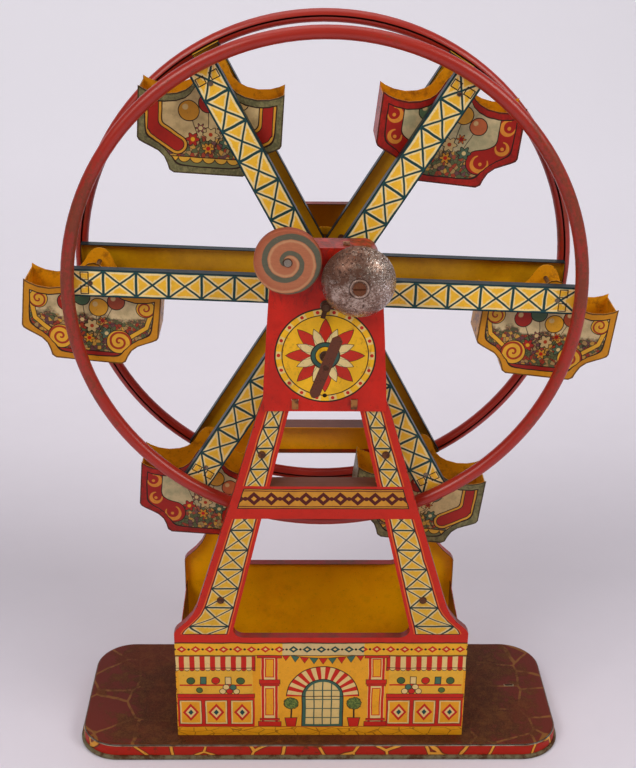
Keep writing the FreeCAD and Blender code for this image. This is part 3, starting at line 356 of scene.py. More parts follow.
def spoke_material(index, angle, side):
    n = Net("spoke_%s_%d_tin" % ("front" if side < 0 else "rear", index))
    ca, sa = math.cos(math.radians(angle)), math.sin(math.radians(angle))
    wob = n.noise(n.P, 0.12, 2, 0.5, 3 + index, colour=True)
    p = n.vop("ADD", n.P, n.vop("SCALE", n.vop("SUBTRACT", wob, (0.5, 0.5, 0.5)), scale=1.0))
    u = n.along(p, (ca, 0.0, sa), -AXLE_Z * sa)
    v = n.along(p, (-sa, 0.0, ca), -AXLE_Z * ca)
    vn = n.along(n.P, (-sa, 0.0, ca), -AXLE_Z * ca)
    col, rail = lattice_colour(n, u - 115.4, v, 17.0, 6.7, seed=index + (6 if side > 0 else 0))
    # border line, then the folded edge in dark blue
    col = n.mix(n.inside(rail - 0.25, 0.2), col, TEAL)
    edge_blue = n.mix(n.noise(n.P, 0.3, 4, 0.7, index), C(22, 58, 74), C(12, 26, 34))
    col = n.mix(n.rise(n.ab(vn), 6.85, 7.0), col, edge_blue)
    # outline round the two tabs that hold the spoke to the rim
    tab = n.mx(n.ab(n.ab(vn) - 3.8) - 2.1, n.ab(u - 125.1) - 2.0)
    col = n.mix(n.line(tab, 0.28), col, INK)
    outer = n.rise(n.y * float(side), 22.45, 22.6)
    inner_col = n.mix(n.rise(n.noise(n.P, 0.07, 4, 0.6, 17 + index), 0.45, 0.70), C(200, 156, 12), C(182, 136, 12))
    # inside of the channel
    facing_out = n.rise(n.ab(n.along(n.join(n.nx, n.ny, n.nz), (-sa, 0.0, ca))), 0.5, 0.6) * n.rise(n.ab(vn), 7.25, 7.35)
    inside = n.mix(facing_out, inner_col, edge_blue)
    rim = n.inside(n.y * float(side) - 17.95, 0.2)
    inside = n.mix(rim, inside, C(26, 34, 36))
    col = n.mix(outer, inside, col)
    rub = n.rise(n.ab(vn), 6.6, 7.5)
    return enamel(n, col, seed=20 + index + (6 if side > 0 else 0), chips=0.745, rough=0.42, dents=0.14, edge=rub * 0.5)


for i, a in enumerate(ANGLES, 1):
    give(["spoke_front_%d" % i], spoke_material(i, a, -1))
    give(["spoke_rear_%d" % i], spoke_material(i, a, 1))


def ring_material(name, side, seed):
    n = Net(name)
    dz = n.z - AXLE_Z
    a = n.turn(n.x, dz)
    r = n.vop("LENGTH", n.join(n.x, dz), value=True)
    w = (r - 133.5) / 3.5
    # streaks that follow the rolled rim
    q = n.join(a * 40.0, r * 1.4, n.y)
    streak = n.noise(q, 0.22, 5, 0.65, seed, 0.2)
    speck = n.noise(n.P, 0.7, 6, 0.75, seed + 5)
    big = n.noise(n.P, 0.022, 3, 0.6, seed + 1)
    col = n.mix(big, RED_RING, C(168, 40, 34))
    col = n.times(col, n.op("MULTIPLY_ADD", streak, 0.5, 0.76))
    # handled places at both sides are worn to brown
    worn = n.rise(n.ab(n.x), 90.0, 134.0) * 0.125 + n.rise(-dz, -20.0, 40.0) * n.rise(n.ab(n.x), 60.0, 120.0) * -0.03 + (big - 0.5) * 0.22
    crown = n.rise(n.y * float(side), 25.5, 29.0)
    wear = n.rise(streak * 0.55 + speck * 0.45 + worn + crown * 0.045, 0.585, 0.70)
    brown = n.mix(speck, C(134, 74, 46), C(84, 44, 28))
    col = n.mix(wear * 0.72, col, brown)
    pin = n.rise(speck, 0.70, 0.72)
    col = n.mix(pin, col, RUST_DARK)
    # dark seam on the side of the spokes, darker red on the inside of the tube
    across = n.vop("LENGTH", n.join(r - 133.5, n.y * float(side) - 26.3), value=True)
    seam = n.line(r - 133.5, 0.55, 0.3) * n.inside(n.y * float(side) - 23.4, 0.2)
    col = n.mix(seam * 0.8, col, C(112, 36, 28))
    col = n.mix(n.inside(across - 3.2, 0.1), col, C(104, 38, 30))
    col = n.vop("MULTIPLY", col, (0.86, 0.78, 0.46))
    rough = n.op("MULTIPLY_ADD", wear, 0.22, 0.33) + (speck - 0.5) * 0.16
    h = streak * 0.05 + n.noise(n.P, 0.03, 2, 0.5, seed + 8) * 0.5 + speck * 0.012 - pin * 0.03
    return n.finish(col, rough, 0.0, h, 0.42, 0.14, 0.25)


give(["ring_front"], ring_material("ring_front_tin", -1, 61))
give(["ring_rear"], ring_material("ring_rear_tin", 1, 67))

for tag, seed in (("front", 41), ("rear", 45)):
    n = Net("hub_disc_%s_tin" % tag)
    r = n.vop("LENGTH", n.join(n.x, n.z - AXLE_Z), value=True)
    col = n.mix(n.line(r - 16.5, 0.6), C(232, 166, 24), C(180, 116, 22))
    col = n.mix(n.line(r - 6.5, 0.5), col, C(120, 70, 20))
    give(["hub_disc_" + tag], enamel(n, col, seed=seed, chips=0.72, edge=n.rise(r, 18.5, 21.0)))

n = Net("pivot_tab_tin")
give(["pivot_tabs"], enamel(n, YELLOW_SOFT, seed=43, chips=0.70, dents=0.02, edge_colour=INK))

give(["hub_rivets", "leg_rivets"], steel("rivet_steel", C(120, 78, 52), 3, rust=0.50, rough=0.42))
give(["axle", "axle_collars"], steel("axle_steel", C(98, 78, 64), 5, rust=0.48, rough=0.42))
give(["trip_arm"], steel("trip_arm_steel", C(82, 60, 46), 8, rust=0.44, rough=0.50))
give(["axle_tube"], steel("axle_tube_steel", C(120, 116, 108), 6, rust=0.55, rough=0.40))
for k in range(1, 7):
    give(["pivot_rod_%d" % k], steel("rod_%d_steel" % k, C(132, 124, 114), 10 + k, rust=0.54, rough=0.35))

# ------------------------------------------------------------------ clockwork

give(["axle_pinion", "disc_shaft", "mid_arbor"], steel("pinion_steel", C(150, 148, 142), 21, rust=0.64, rough=0.28, pits=0.01))
give(["axle_gear", "great_wheel", "mid_wheel"], steel("wheel_brass", C(186, 146, 74), 22, rust=0.66, rough=0.30, pits=0.008,
                                                     rust_colours=(C(120, 92, 46), C(84, 66, 38))))
give(["mainspring"], steel("spring_steel", C(70, 78, 92), 23, rust=0.66, rough=0.25, pits=0.006))
give(["clutch_coil"], steel("coil_steel", C(120, 120, 120), 24, rust=0.63, rough=0.28, pits=0.006))
give(["motor_plate"], steel("plate_tin", C(96, 84, 68), 25, rust=0.52, rough=0.50))
give(["motor_pillars", "shaft_bushes"], steel("pillar_steel", C(128, 122, 112), 26, rust=0.58, rough=0.36))
give(["arbor"], steel("arbor_steel", C(110, 92, 78), 27, rust=0.46, rough=0.42))
give(["hammer", "hammer_stud"], steel("hammer_steel", C(70, 46, 34), 29, rust=0.42, rough=0.56))

n = Net("key_strip_steel")
fine = n.noise(n.P, 1.5, 5, 0.72, 5)
mid = n.noise(n.P, 0.22, 5, 0.65, 6, 0.5)
kc = n.mix(n.rise(mid, 0.40, 0.60), C(100, 52, 34), C(110, 54, 26))
kc = n.mix(n.rise(fine + (mid - 0.5), 0.54, 0.64), kc, C(46, 24, 16))
kc = n.times(kc, n.op("MULTIPLY_ADD", fine, 0.55, 0.72))
give(["key"], n.finish(kc, n.op("MULTIPLY_ADD", fine, 0.3, 0.42), n.op("MULTIPLY_ADD", mid, -0.5, 0.52, clamp=True),
                       fine * 0.05 + mid * 0.10))

# bell: nickel that has pitted and browned
n = Net("bell_nickel")
bx, bz = n.x - BELL[0], n.z - BELL[1]
br = n.vop("LENGTH", n.join(bx, bz), value=True)
fine = n.noise(n.P, 1.1, 6, 0.72, 31)
mid = n.noise(n.P, 0.17, 5, 0.62, 32, 0.6)
pit = n.noise(n.P, 0.75, 4, 0.6, 33, 0.5)
up = n.rise(bz, 0.0, 17.0)
low_side = n.rise(-bz + n.ab(bx) * 0.5, 4.0, 18.0)
brown = n.rise(mid + (fine - 0.5) * 0.60 + up * 0.14 - low_side * 0.05, 0.40, 0.58)
nick = n.mix(fine, C(214, 196, 180), C(132, 100, 84))
brn = n.mix(fine, C(122, 76, 54), C(66, 36, 26))
# painted highlight: the right side and the lower rim are kept paler and less brown, with more bright nickel specks,
# where the lamps glint
painted_glint_side = n.mx(n.rise(bx + bz * 0.25, 3.0, 13.0), n.rise(-bz - n.ab(bx) * 0.15, 8.0, 15.0))
brown = brown * n.inv(painted_glint_side * 0.40)
bc = n.mix(brown * 0.90, nick, brn)
pits = n.rise(pit + up * 0.03, 0.565, 0.64)
bc = n.mix(pits * 0.88, bc, C(64, 34, 24))
orange = n.rise(n.noise(n.P, 0.5, 5, 0.7, 34), 0.60, 0.68)
bc = n.mix(orange * 0.6, bc, C(156, 84, 48))
# bright nickel specks all over, with more of them on the painted-highlight side
nickel_speck_and_glint = n.rise(n.noise(n.P, 1.3, 4, 0.7, 36) + painted_glint_side * 0.10, 0.60, 0.66)
bc = n.mix(nickel_speck_and_glint * (painted_glint_side * 0.55 + 0.25), bc, C(250, 242, 234))
ring_mark = n.line(br - 4.3, 0.45, 0.3)
bc = n.mix(ring_mark * 0.6, bc, C(196, 168, 148))
bc = n.mix(n.line(br - 5.2, 0.30, 0.3) * 0.7, bc, C(56, 32, 24))
give(["bell"], n.finish(bc, n.op("MULTIPLY_ADD", brown, 0.24, 0.17) + pits * 0.32 - nickel_speck_and_glint * painted_glint_side * 0.10 + (fine - 0.5) * 0.14,
                        n.op("MULTIPLY_ADD", n.mx(pits, brown * 0.5), -0.7, 1.0, clamp=True),
                        fine * 0.11 + mid * 0.14 - pits * 0.13 + ring_mark * 0.12 + nickel_speck_and_glint * 0.04, 0.5))
give(["bell_fixings"], steel("bell_screw_steel", C(128, 92, 66), 35, rust=0.44, rough=0.44, pits=0.06,
                             rust_colours=(C(136, 78, 44), C(70, 38, 24))))

# spinning disc: painted spiral
n = Net("spinner_paint")
sx, sz = n.x - DISC[0], n.z - DISC[1]
wob = n.noise(n.P, 0.25, 3, 0.6, 51)
rr = n.vop("LENGTH", n.join(sx, sz), value=True) + (wob - 0.5) * 1.0
th = n.turn(sx, sz) / (2 * math.pi)
pitch = 8.7
f = n.fract((rr + th * pitch - 15.6) / pitch + 10.5)
d = (f - 0.5) * pitch
half = n.rise(rr, 0.0, 16.0) * 0.62 + 1.00
band = n.op("MULTIPLY_ADD", n.ab(d) - half, -1.0 / 0.35, 0.5, clamp=True)
wood = n.noise(n.join(sx * 0.25, sz * 2.2, n.y), 0.9, 5, 0.7, 52)
salmon = n.mix(wood, C(202, 136, 104), C(170, 98, 72))
salmon = n.mix(n.rise(rr, 12.5, 16.8), salmon, C(172, 92, 64))
cream_line = n.line(d + half + 0.9, 0.55, 1.0)
grey = n.mix(wood, C(112, 116, 104), C(78, 82, 72))
col = n.mix(cream_line * 0.55, salmon, C(220, 182, 144))
col = n.mix(band * n.inside(rr - 16.7, 0.4), col, grey)
col = n.mix(n.inside(rr - 2.4, 0.5) * 0.9, col, C(66, 36, 24))
face = n.rise(-n.y, 49.55, 50.1)
rimcol = n.mix(wood, C(178, 88, 48), C(132, 58, 32))
col = n.mix(face, rimcol, col)
rub = n.noise(n.P, 0.9, 6, 0.75, 53)
col = n.mix(n.rise(rub, 0.60, 0.70) * 0.35, col, C(206, 164, 124))
col = n.vop("MULTIPLY", n.times(col, n.op("MULTIPLY_ADD", rub, 0.5, 0.74)), (0.90, 0.80, 0.64))
give(["spinner_disc"], n.finish(col, n.op("MULTIPLY_ADD", rub, 0.25, 0.50), 0.0, wood * 0.05 + rub * 0.05, 0.4))

# ------------------------------------------------------------------ towers

TOWER_EDGE = [(10.0, 84.0), (82.0, 84.0), (84.4, 82.6), (89.6, 77.0), (94.4, 73.2), (99.4, 70.8), (104.5, 69.2),
              (169.0, 50.0), (221.5, 35.0), (229.0, 32.3), (236.0, 30.6), (243.0, 30.0), (262.0, 29.8), (285.0, 28.2),
              (303.0, 26.2), (306.6, 25.4), (309.6, 23.6), (311.2, 21.4), (311.9, 19.4)]


def booth_print(n, x, z, ax, seed):
    """The fair booths on the box: two stalls and a gate between columns, no people and no words."""
    paper = n.mix(n.noise(n.P, 0.08, 3, 0.6, seed), YELLOW, C(236, 160, 30))
    col = paper
    # side stalls, drawn in mirrored coordinates: s is across from the stall's middle
    s = ax - 61.0
    p = n.join(s, z)
    # wall behind the counter, a pale one with a faint tint
    wall = n.box(s, z, 0.0, 48.0, 21.5, 10.5)
    col = n.mix(n.inside(wall), col, C(240, 196, 74))
    # shelf and things on it: jars and balls in turn
    jx = (n.fract(s / 7.2 + 10.5) - 0.5) * 7.2
    which = n.op("GREATER_THAN", n.fract(s / 14.4 + 10.25), 0.5)
    ball = n.dist(n.join(jx, z), (0.0, 49.1)) - 2.3
    jar = n.box(jx, z, 0.0, 49.2, 1.7, 2.5)
    thing = n.blend(which, ball, jar)
    in_shelf = n.inside(n.box(s, z, 0.0, 49.0, 19.5, 6.0))
    tint = n.mix(which, RED, C(70, 122, 122))
    tint = n.mix(n.op("GREATER_THAN", n.fract(s / 28.8 + 10.1), 0.5), tint, n.mix(which, C(70, 110, 70), CREAM))
    col = n.mix(n.inside(thing) * in_shelf, col, tint)
    col = n.mix(n.line(thing, 0.22) * in_shelf, col, INK)
    col = n.mix(n.inside(n.box(s, z, 0.0, 46.0, 21.0, 0.55)), col, RED)
    # balls stacked on the counter
    for (bx0, bz0, tone) in ((-12.0, 41.6, CREAM), (-8.0, 41.6, RED), (-4.0, 41.6, CREAM), (-10.0, 44.6, C(70, 122, 122)),
                             (-6.0, 44.6, CREAM), (9.5, 42.4, C(84, 122, 70))):
        dd = n.dist(p, (bx0, bz0)) - 1.85
        col = n.mix(n.inside(dd), col, tone)
        col = n.mix(n.line(dd, 0.2), col, INK)
    # counter
    col = n.mix(n.inside(n.box(s, z, 0.0, 38.4, 22.5, 1.3)), col, RED)
    col = n.mix(n.line(n.box(s, z, 0.0, 38.4, 22.5, 1.3), 0.18), col, INK)
    front = n.box(s, z, 0.0, 26.6, 22.5, 10.4)
    col = n.mix(n.inside(front), col, RED)
    fx = (n.fract(s / 15.0 + 10.5) - 0.5) * 15.0
    panel = n.box(fx, z, 0.0, 26.6, 6.4, 8.4)
    col = n.mix(n.inside(panel) * n.inside(front), col, CREAM)
    col = n.mix(n.inside(panel + 1.0) * n.inside(front), col, paper)
    loz = n.ab(fx) * 1.3 + n.ab(z - 26.6) - 6.2
    col = n.mix(n.inside(loz) * n.inside(front), col, RED)
    col = n.mix(n.inside(loz + 2.2) * n.inside(front), col, CREAM)
    col = n.mix(n.inside(loz + 4.2) * n.inside(front), col, TEAL)
    col = n.mix(n.line(panel, 0.16) * n.inside(front), col, INK)
    # striped awning with a scalloped hem
    st = n.fract(s / 6.0 + 10.25)
    stripe = n.line(st - 0.5, 0.25, 0.03)
    hem = (n.fract(s / 6.0 * 2.0 + 10.0) - 0.5) * 3.0
    hem_z = n.op("SQRT", n.mx(2.25 - hem * hem, 0.0))
    awn = n.mx(z - 66.2, (57.6 - hem_z) - z, n.ab(s) - 23.0)
    acol = n.mix(stripe, CREAM, RED)
    col = n.mix(n.inside(awn), col, acol)
    col = n.mix(n.line(awn, 0.22), col, INK)
    col = n.mix(n.inside(n.box(s, z, 0.0, 58.0, 23.0, 0.25)), col, INK)
    # gate in the middle, slightly right of the axis as on the toy
    g = x - 1.2
    ag = n.ab(g)
    q = n.join(g, z)
    back = n.box(g, z, 0.0, 41.0, 25.6, 25.2)
    col = n.mix(n.inside(back), col, C(242, 184, 48))
    arch = n.dist(q, (0.0, 38.0))
    rays = n.op("COSINE", n.turn(g, z - 38.0) * 22.0)
    fan = n.inside(n.mx(arch - 21.0, 38.0 - z)) * n.inside(12.0 - arch)
    col = n.mix(fan, col, n.mix(n.rise(rays, -0.1, 0.1), CREAM, RED))
    col = n.mix(n.line(arch - 21.0, 0.3) * n.rise(z, 37.9, 38.1), col, INK)
    door = n.mn(n.mx(arch - 12.0, 38.0 - z), n.box(g, z, 0.0, 27.0, 12.0, 11.0))
    col = n.mix(n.inside(door), col, C(58, 108, 112))
    glass = n.mn(n.mx(arch - 10.2, 38.0 - z), n.box(g, z, 0.0, 28.0, 10.2, 10.0))
    bars = n.line(n.fract(g / 5.1 + 10.5) - 0.5, 0.07, 0.05)
    gate = n.mx(bars, n.line(n.fract(z / 6.5) - 0.5, 0.05, 0.05))
    col = n.mix(n.inside(glass), col, n.mix(gate, C(228, 214, 166), C(52, 96, 100)))
    col = n.mix(n.line(door, 0.28), col, INK)
    # little trees in tubs either side of the gate
    tree = n.join(ag, z)
    leaf = n.dist(tree, (18.4, 33.0)) - 4.2
    bumps = n.noise(n.P, 0.9, 3, 0.6, seed + 3)
    leaf = leaf + (bumps - 0.5) * 2.2
    col = n.mix(n.inside(n.box(ag, z, 18.4, 26.0, 0.5, 4.0)), col, INK)
    col = n.mix(n.inside(leaf), col, n.mix(n.rise(bumps, 0.45, 0.55), C(66, 100, 60), C(120, 148, 80)))
    col = n.mix(n.line(leaf, 0.22), col, INK)
    tub = n.mx(n.ab(z - 19.4) - 3.2, ag - 18.4 - (z - 16.0) * 0.16 - 2.6, 18.4 - ag - (z - 16.0) * 0.16 - 2.6)
    col = n.mix(n.inside(tub), col, RED)
    col = n.mix(n.line(tub, 0.2), col, INK)
    # bunting across the gate bay
    bu = (n.fract(g / 5.4 + 10.5) - 0.5) * 5.4
    sag = (g * g) * 0.0052
    flag = n.mx(z - 65.0 - sag + 0.0, n.ab(bu) * 1.7 - (z - 60.6 - sag))
    inbay = n.inside(ag - 24.4)
    fc = n.mix(n.op("GREATER_THAN", n.fract(g / 10.8 + 10.25), 0.5), RED, C(66, 118, 118))
    col = n.mix(n.inside(flag) * inbay, col, fc)
    col = n.mix(n.line(flag, 0.2) * inbay, col, INK)
    # columns
    cx = n.blend(n.op("GREATER_THAN", x, 0.0), x + 29.7, x - 32.3)
    acx = n.ab(cx)
    shaft = n.box(cx, z, 0.0, 41.0, 4.9, 26.0)
    col = n.mix(n.inside(shaft), col, CREAM)
    col = n.mix(n.inside(n.ab(acx - 3.9) - 0.75) * n.inside(shaft), col, RED)
    for (pz, ph) in ((58.0, 6.2), (34.0, 9.5)):
        pn = n.box(cx, z, 0.0, pz, 2.3, ph)
        col = n.mix(n.inside(pn), col, paper)
        col = n.mix(n.line(pn, 0.3), col, RED)
    for (pz, ph, pw) in ((66.4, 1.4, 7.0), (48.2, 1.6, 6.0), (46.0, 0.7, 5.4), (18.2, 1.7, 6.6), (21.4, 0.8, 5.6)):
        cap = n.box(cx, z, 0.0, pz, pw, ph)
        col = n.mix(n.inside(cap), col, RED)
        col = n.mix(n.line(cap, 0.16), col, INK)
    # pavement, header and frame
    col = n.mix(n.inside(z - 16.2), col, paper)
    col = n.mix(n.line(z - 16.2, 0.2), col, RED_DEEP)
    pave = n.cells(n.join(x, z * 2.2), 0.11, "DISTANCE_TO_EDGE")
    col = n.mix(n.inside(z - 15.6) * n.inside(pave - 0.025, 0.02) * 0.8, col, C(150, 100, 30))
    head = n.inside(n.ab(z - 71.0) - 4.2)
    mid_head = n.inside(n.ab(x - 1.2) - 23.5)
    hcol = n.mix(mid_head, n.mix(n.noise(n.P, 0.1, 2, 0.5, seed + 6), YELLOW, YELLOW_SOFT), CREAM_COOL)
    hx_ = (n.fract(x / 8.0 + 10.5) - 0.5) * 8.0
    lozh = n.ab(hx_) * 0.8 + n.ab(z - 71.0) - 2.3
    hcol = n.mix(n.inside(lozh), hcol, n.mix(mid_head, RED, TEAL))
    hcol = n.mix(n.inside(lozh + 1.4), hcol, CREAM)
    dots = n.dist(n.join(n.ab(hx_), z), (4.0, 71.0)) - 0.75
    hcol = n.mix(n.inside(dots), hcol, INK)
    col = n.mix(head, col, hcol)
    col = n.mix(n.line(n.ab(z - 71.0) - 4.2, 0.22), col, INK)
    return n.vop("MULTIPLY", col, (0.90, 0.82, 0.72))


def tower_material(name, side, seed):
    n = Net(name)
    wob = n.noise(n.P, 0.10, 2, 0.5, seed, colour=True)
    p = n.vop("ADD", n.P, n.vop("SCALE", n.vop("SUBTRACT", wob, (0.5, 0.5, 0.5)), scale=0.9))
    x, _, z = n.split(p)
    ax = n.ab(x)
    z_true = n.z
    half = n.curve(z, TOWER_EDGE)
    inner = 18.5 + (223.5 - z) * 0.2284
    lo, li = half - 5.0, inner + 3.0
    mid_l, hw = (lo + li) * 0.5, (lo - li) * 0.5
    v = ax - mid_l
    col, rail = lattice_colour(n, z + 1.5, v, 12.6, hw, ink=C(30, 64, 70), seed=seed, line=0.40, patch=1.0)
    in_rails = n.inside(-rail, 0.2)
    col = n.vop("MULTIPLY", col, (0.79, 0.78, 0.80))
    red = n.mix(n.noise(n.P, 0.06, 3, 0.6, seed + 2), RED, C(184, 38, 26))
    leg = n.mix(in_rails, red, col)
    leg = n.mix(n.line(rail, 0.30), leg, INK)
    leg = n.mix(n.line(rail + 0.9, 0.22) * 0.55, leg, C(236, 150, 60))
    # plain head; the front one gets a dark spot of painted shade where the cover's hole shows it
    head = n.mix(n.line(ax - half + 3.0, 0.35), red, C(220, 150, 60))
    if side < 0:
        head = n.mix(n.inside(n.dist(n.join(x, z), (0.0, 231.7)) - 1.9), head, C(40, 20, 14))
    leg = n.mix(n.rise(z, 222.3, 222.6), leg, head)
    # banner on the cross bar: lozenges and dots instead of words
    ban = n.box(ax, z, 0.0, 169.4, 60.0, 5.9)
    ban = n.mx(ban, ax - half + 5.0)
    bx = (n.fract(x / 9.4 + 10.5) - 0.5) * 9.4
    lz = n.ab(bx) * 0.95 + n.ab(z - 169.4) - 3.6
    bcol = n.mix(n.noise(n.P, 0.12, 3, 0.6, seed + 4), C(222, 164, 62), C(186, 130, 48))
    bcol = n.mix(n.inside(lz - 0.5), bcol, C(84, 24, 22))
    bcol = n.mix(n.inside(lz + 2.1), bcol, C(216, 158, 62))
    bcol = n.mix(n.inside(n.dist(n.join(n.ab(bx), z), (4.7, 169.4)) - 1.25), bcol, C(84, 24, 22))
    bcol = n.mix(n.line(n.ab(z - 169.4) - 4.75, 0.32), bcol, C(104, 48, 28))
    bar = n.inside(n.ab(z - 167.0) - 10.2)
    barcol = n.mix(n.inside(ban), red, bcol)
    barcol = n.mix(n.line(ban, 0.28), barcol, INK)
    leg = n.mix(bar, leg, barcol)
    # foot of the legs
    foot = n.inside(z - 81.3)
    leg = n.mix(foot, leg, red)
    leg = n.mix(n.line(z - 81.3, 0.25) * in_rails, leg, INK)
    box_print = booth_print(n, x, z, ax, seed + 20)
    col = n.mix(n.inside(z - 75.4), leg, box_print)
    col = n.mix(n.line(z - 75.5, 0.3), col, INK)
    outer = n.rise(n.y * float(side), 41.80, 41.93)
    # inside: plain ochre enamel, brown towards the bottom of the box, dark rims
    brown = n.noise(n.P, 0.05, 4, 0.62, seed + 9)
    och = n.mix(n.rise(brown, 0.46, 0.78), C(252, 186, 8), C(238, 164, 10))
    low = n.rise(22.0 - z_true + (brown - 0.5) * 24.0, 0.0, 24.0)
    och = n.mix(low * 0.5, och, C(160, 98, 20))
    upper = n.rise(z_true + (brown - 0.5) * 24.0, 232.0, 262.0)
    och = n.mix(upper * 0.80, och, C(150, 92, 18))
    # outward sides of the flanges are printed red
    side_n = n.vop("LENGTH", n.join(n.nx, n.nz), value=True)
    outline_d = half - n.ab(n.x)
    win = n.mx(n.ab(n.x) - inner, -(z_true - 78.0), z_true - 225.0)
    on_edge = n.mx(n.inside(outline_d - 0.32, 0.1), n.inside(n.mn(n.ab(z_true - 312.0), 9.0) - 0.5, 0.1))
    in_win = n.inside(n.mx(n.ab(n.x) - inner - 0.14, 78.86 - z_true, z_true - 223.64), 0.08)
    flange = n.rise(side_n, 0.5, 0.6) * n.mx(on_edge, in_win)
    fl_red = n.mix(n.rise(brown, 0.45, 0.62), C(150, 36, 32), C(104, 48, 38))
    och = n.mix(flange, och, fl_red)
    shelf = n.inside(n.ab(z_true - 176.8) - 0.5, 0.1) * n.rise(n.nz, 0.5, 0.6)
    och = n.mix(shelf, och, C(110, 62, 50))
    rim = n.rise(36.95 - n.y * float(side), 0.0, 0.15) * n.inside(n.mx(31.5 - n.y * float(side), -1.0), 0.1)
    och = n.mix(n.line(n.y * float(side) - 37.0, 0.10, 0.1) * 0.8, och, INK)
    col = n.mix(outer, och, col)
    rub = n.mx(n.inside(n.mx(outline_d, -2.0) - 0.9, 1.2), n.inside(n.ab(n.ab(n.x) - inner) - 0.7, 1.2) * 0.7)
    return enamel(n, col, seed=seed, chips=0.735, rough=0.40, dents=0.16, edge=rub * outer)


give(["tower_front"], tower_material("tower_front_tin", -1, 71))
give(["tower_rear"], tower_material("tower_rear_tin", 1, 77))

# box sides: red panel with a yellow frame outside, brown inside
for tag, sgn in (("side_wall_left", -1.0), ("side_wall_right", 1.0)):
    n = Net(tag + "_tin")
    yy, zz = n.y, n.z - 37.0
    frame_d = n.mx(n.ab(yy) - 36.5, n.ab(zz) - 22.0)
    col = n.mix(n.inside(frame_d), RED, YELLOW)
    col = n.mix(n.line(frame_d, 0.3), col, INK)
    inner_d = n.mx(n.ab(yy) - 31.5, n.ab(zz) - 17.0)
    col = n.mix(n.inside(inner_d), col, RED)
    col = n.mix(n.line(inner_d, 0.25), col, INK)
    fy = (n.fract(yy / 21.0 + 10.0) - 0.5) * 21.0
    loz = n.ab(fy) * 1.25 + n.ab(zz) - 12.0
    col = n.mix(n.inside(loz) * n.inside(inner_d + 0.4), col, CREAM)
    col = n.mix(n.inside(loz + 1.6) * n.inside(inner_d + 0.4), col, YELLOW)
    col = n.mix(n.inside(n.dist(n.join(fy, zz), (0.0, 0.0)) - 3.4), col, TEAL)
    outside = n.rise(n.x * sgn, 83.2, 83.35)
    br = n.noise(n.P, 0.11, 5, 0.65, 81)
    ins = n.mix(n.rise(br, 0.40, 0.62), C(146, 92, 40), C(88, 52, 34))
    col = n.mix(outside, ins, col)
    give([tag], enamel(n, col, seed=82 + sgn, chips=0.70, rough=0.46, edge=n.inside(n.ab(n.z - 64.0) - 1.6, 2.0)))

# ------------------------------------------------------------------ head cover

n = Net("head_cover_tin")
COVER_EDGE = [(222.0, 32.6), (240.0, 32.0), (252.0, 31.2), (262.0, 30.7), (285.0, 29.2), (303.0, 27.2), (307.2, 26.4),
              (310.4, 24.6), (312.0, 22.4), (312.6, 20.0)]
wob = n.noise(n.P, 0.12, 2, 0.5, 91, colour=True)
p = n.vop("ADD", n.P, n.vop("SCALE", n.vop("SUBTRACT", wob, (0.5, 0.5, 0.5)), scale=0.5))
x, _, z = n.split(p)
px, pz = x, z - 254.3
q = n.join(px, pz)
d = n.vop("LENGTH", q, value=True)
th = n.turn(px, pz)
big = n.noise(n.P, 0.05, 4, 0.6, 92)
red = n.mix(n.rise(big, 0.38, 0.66), C(208, 38, 22), C(184, 36, 24))
yel = n.mix(n.noise(n.P, 0.10, 4, 0.6, 93), C(252, 206, 42), C(242, 186, 34))
col = n.mix(n.inside(d - 26.0), red, yel)
# rosette: twelve pointed rays in red and cream inside two rings, a scalloped band round them
scal = n.ab(n.fract(th * (18 / (2 * math.pi)) + 10.0) - 0.5) * 2.0
col = n.mix(n.inside(n.mx(22.6 - d - (1.0 - scal * scal) * 0.0, d - 26.0)) * n.inside((0.5 - scal) * 3.0), col, C(240, 216, 150))
col = n.mix(n.line(d - 22.4, 0.28), col, INK)
dot = n.dist(n.join((n.fract(th * (18 / (2 * math.pi)) + 10.5) - 0.5) * 8.4, d), (0.0, 24.2)) - 0.95
col = n.mix(n.inside(dot), col, RED)
star_a = n.ab(n.fract(th * (8 / (2 * math.pi)) + 10.0) - 0.5) * 2.0
star = d - (9.0 + star_a * 11.5)
col = n.mix(n.inside(star), col, C(204, 48, 34))
col = n.mix(n.line(star, 0.30), col, INK)
star2 = n.ab(n.fract(th * (8 / (2 * math.pi)) + 10.5) - 0.5) * 2.0
s2 = d - (6.5 + star2 * 9.5)
col = n.mix(n.inside(s2), col, CREAM)
col = n.mix(n.line(s2, 0.28), col, INK)
leafline = n.line(n.fract(th * (16 / (2 * math.pi)) + 10.0) - 0.5, 0.03, 0.03) * n.inside(n.mx(d - 13.0, 7.6 - d), 0.4)
col = n.mix(leafline * 0.8, col, TEAL)
col = n.mix(n.inside(d - 7.4), col, C(58, 100, 104))
col = n.mix(n.line(d - 7.4, 0.3), col, INK)
col = n.mix(n.inside(d - 5.0), col, yel)
col = n.mix(n.line(d - 5.0, 0.22), col, INK)
col = n.mix(n.line(d - 26.0, 0.42), col, INK)
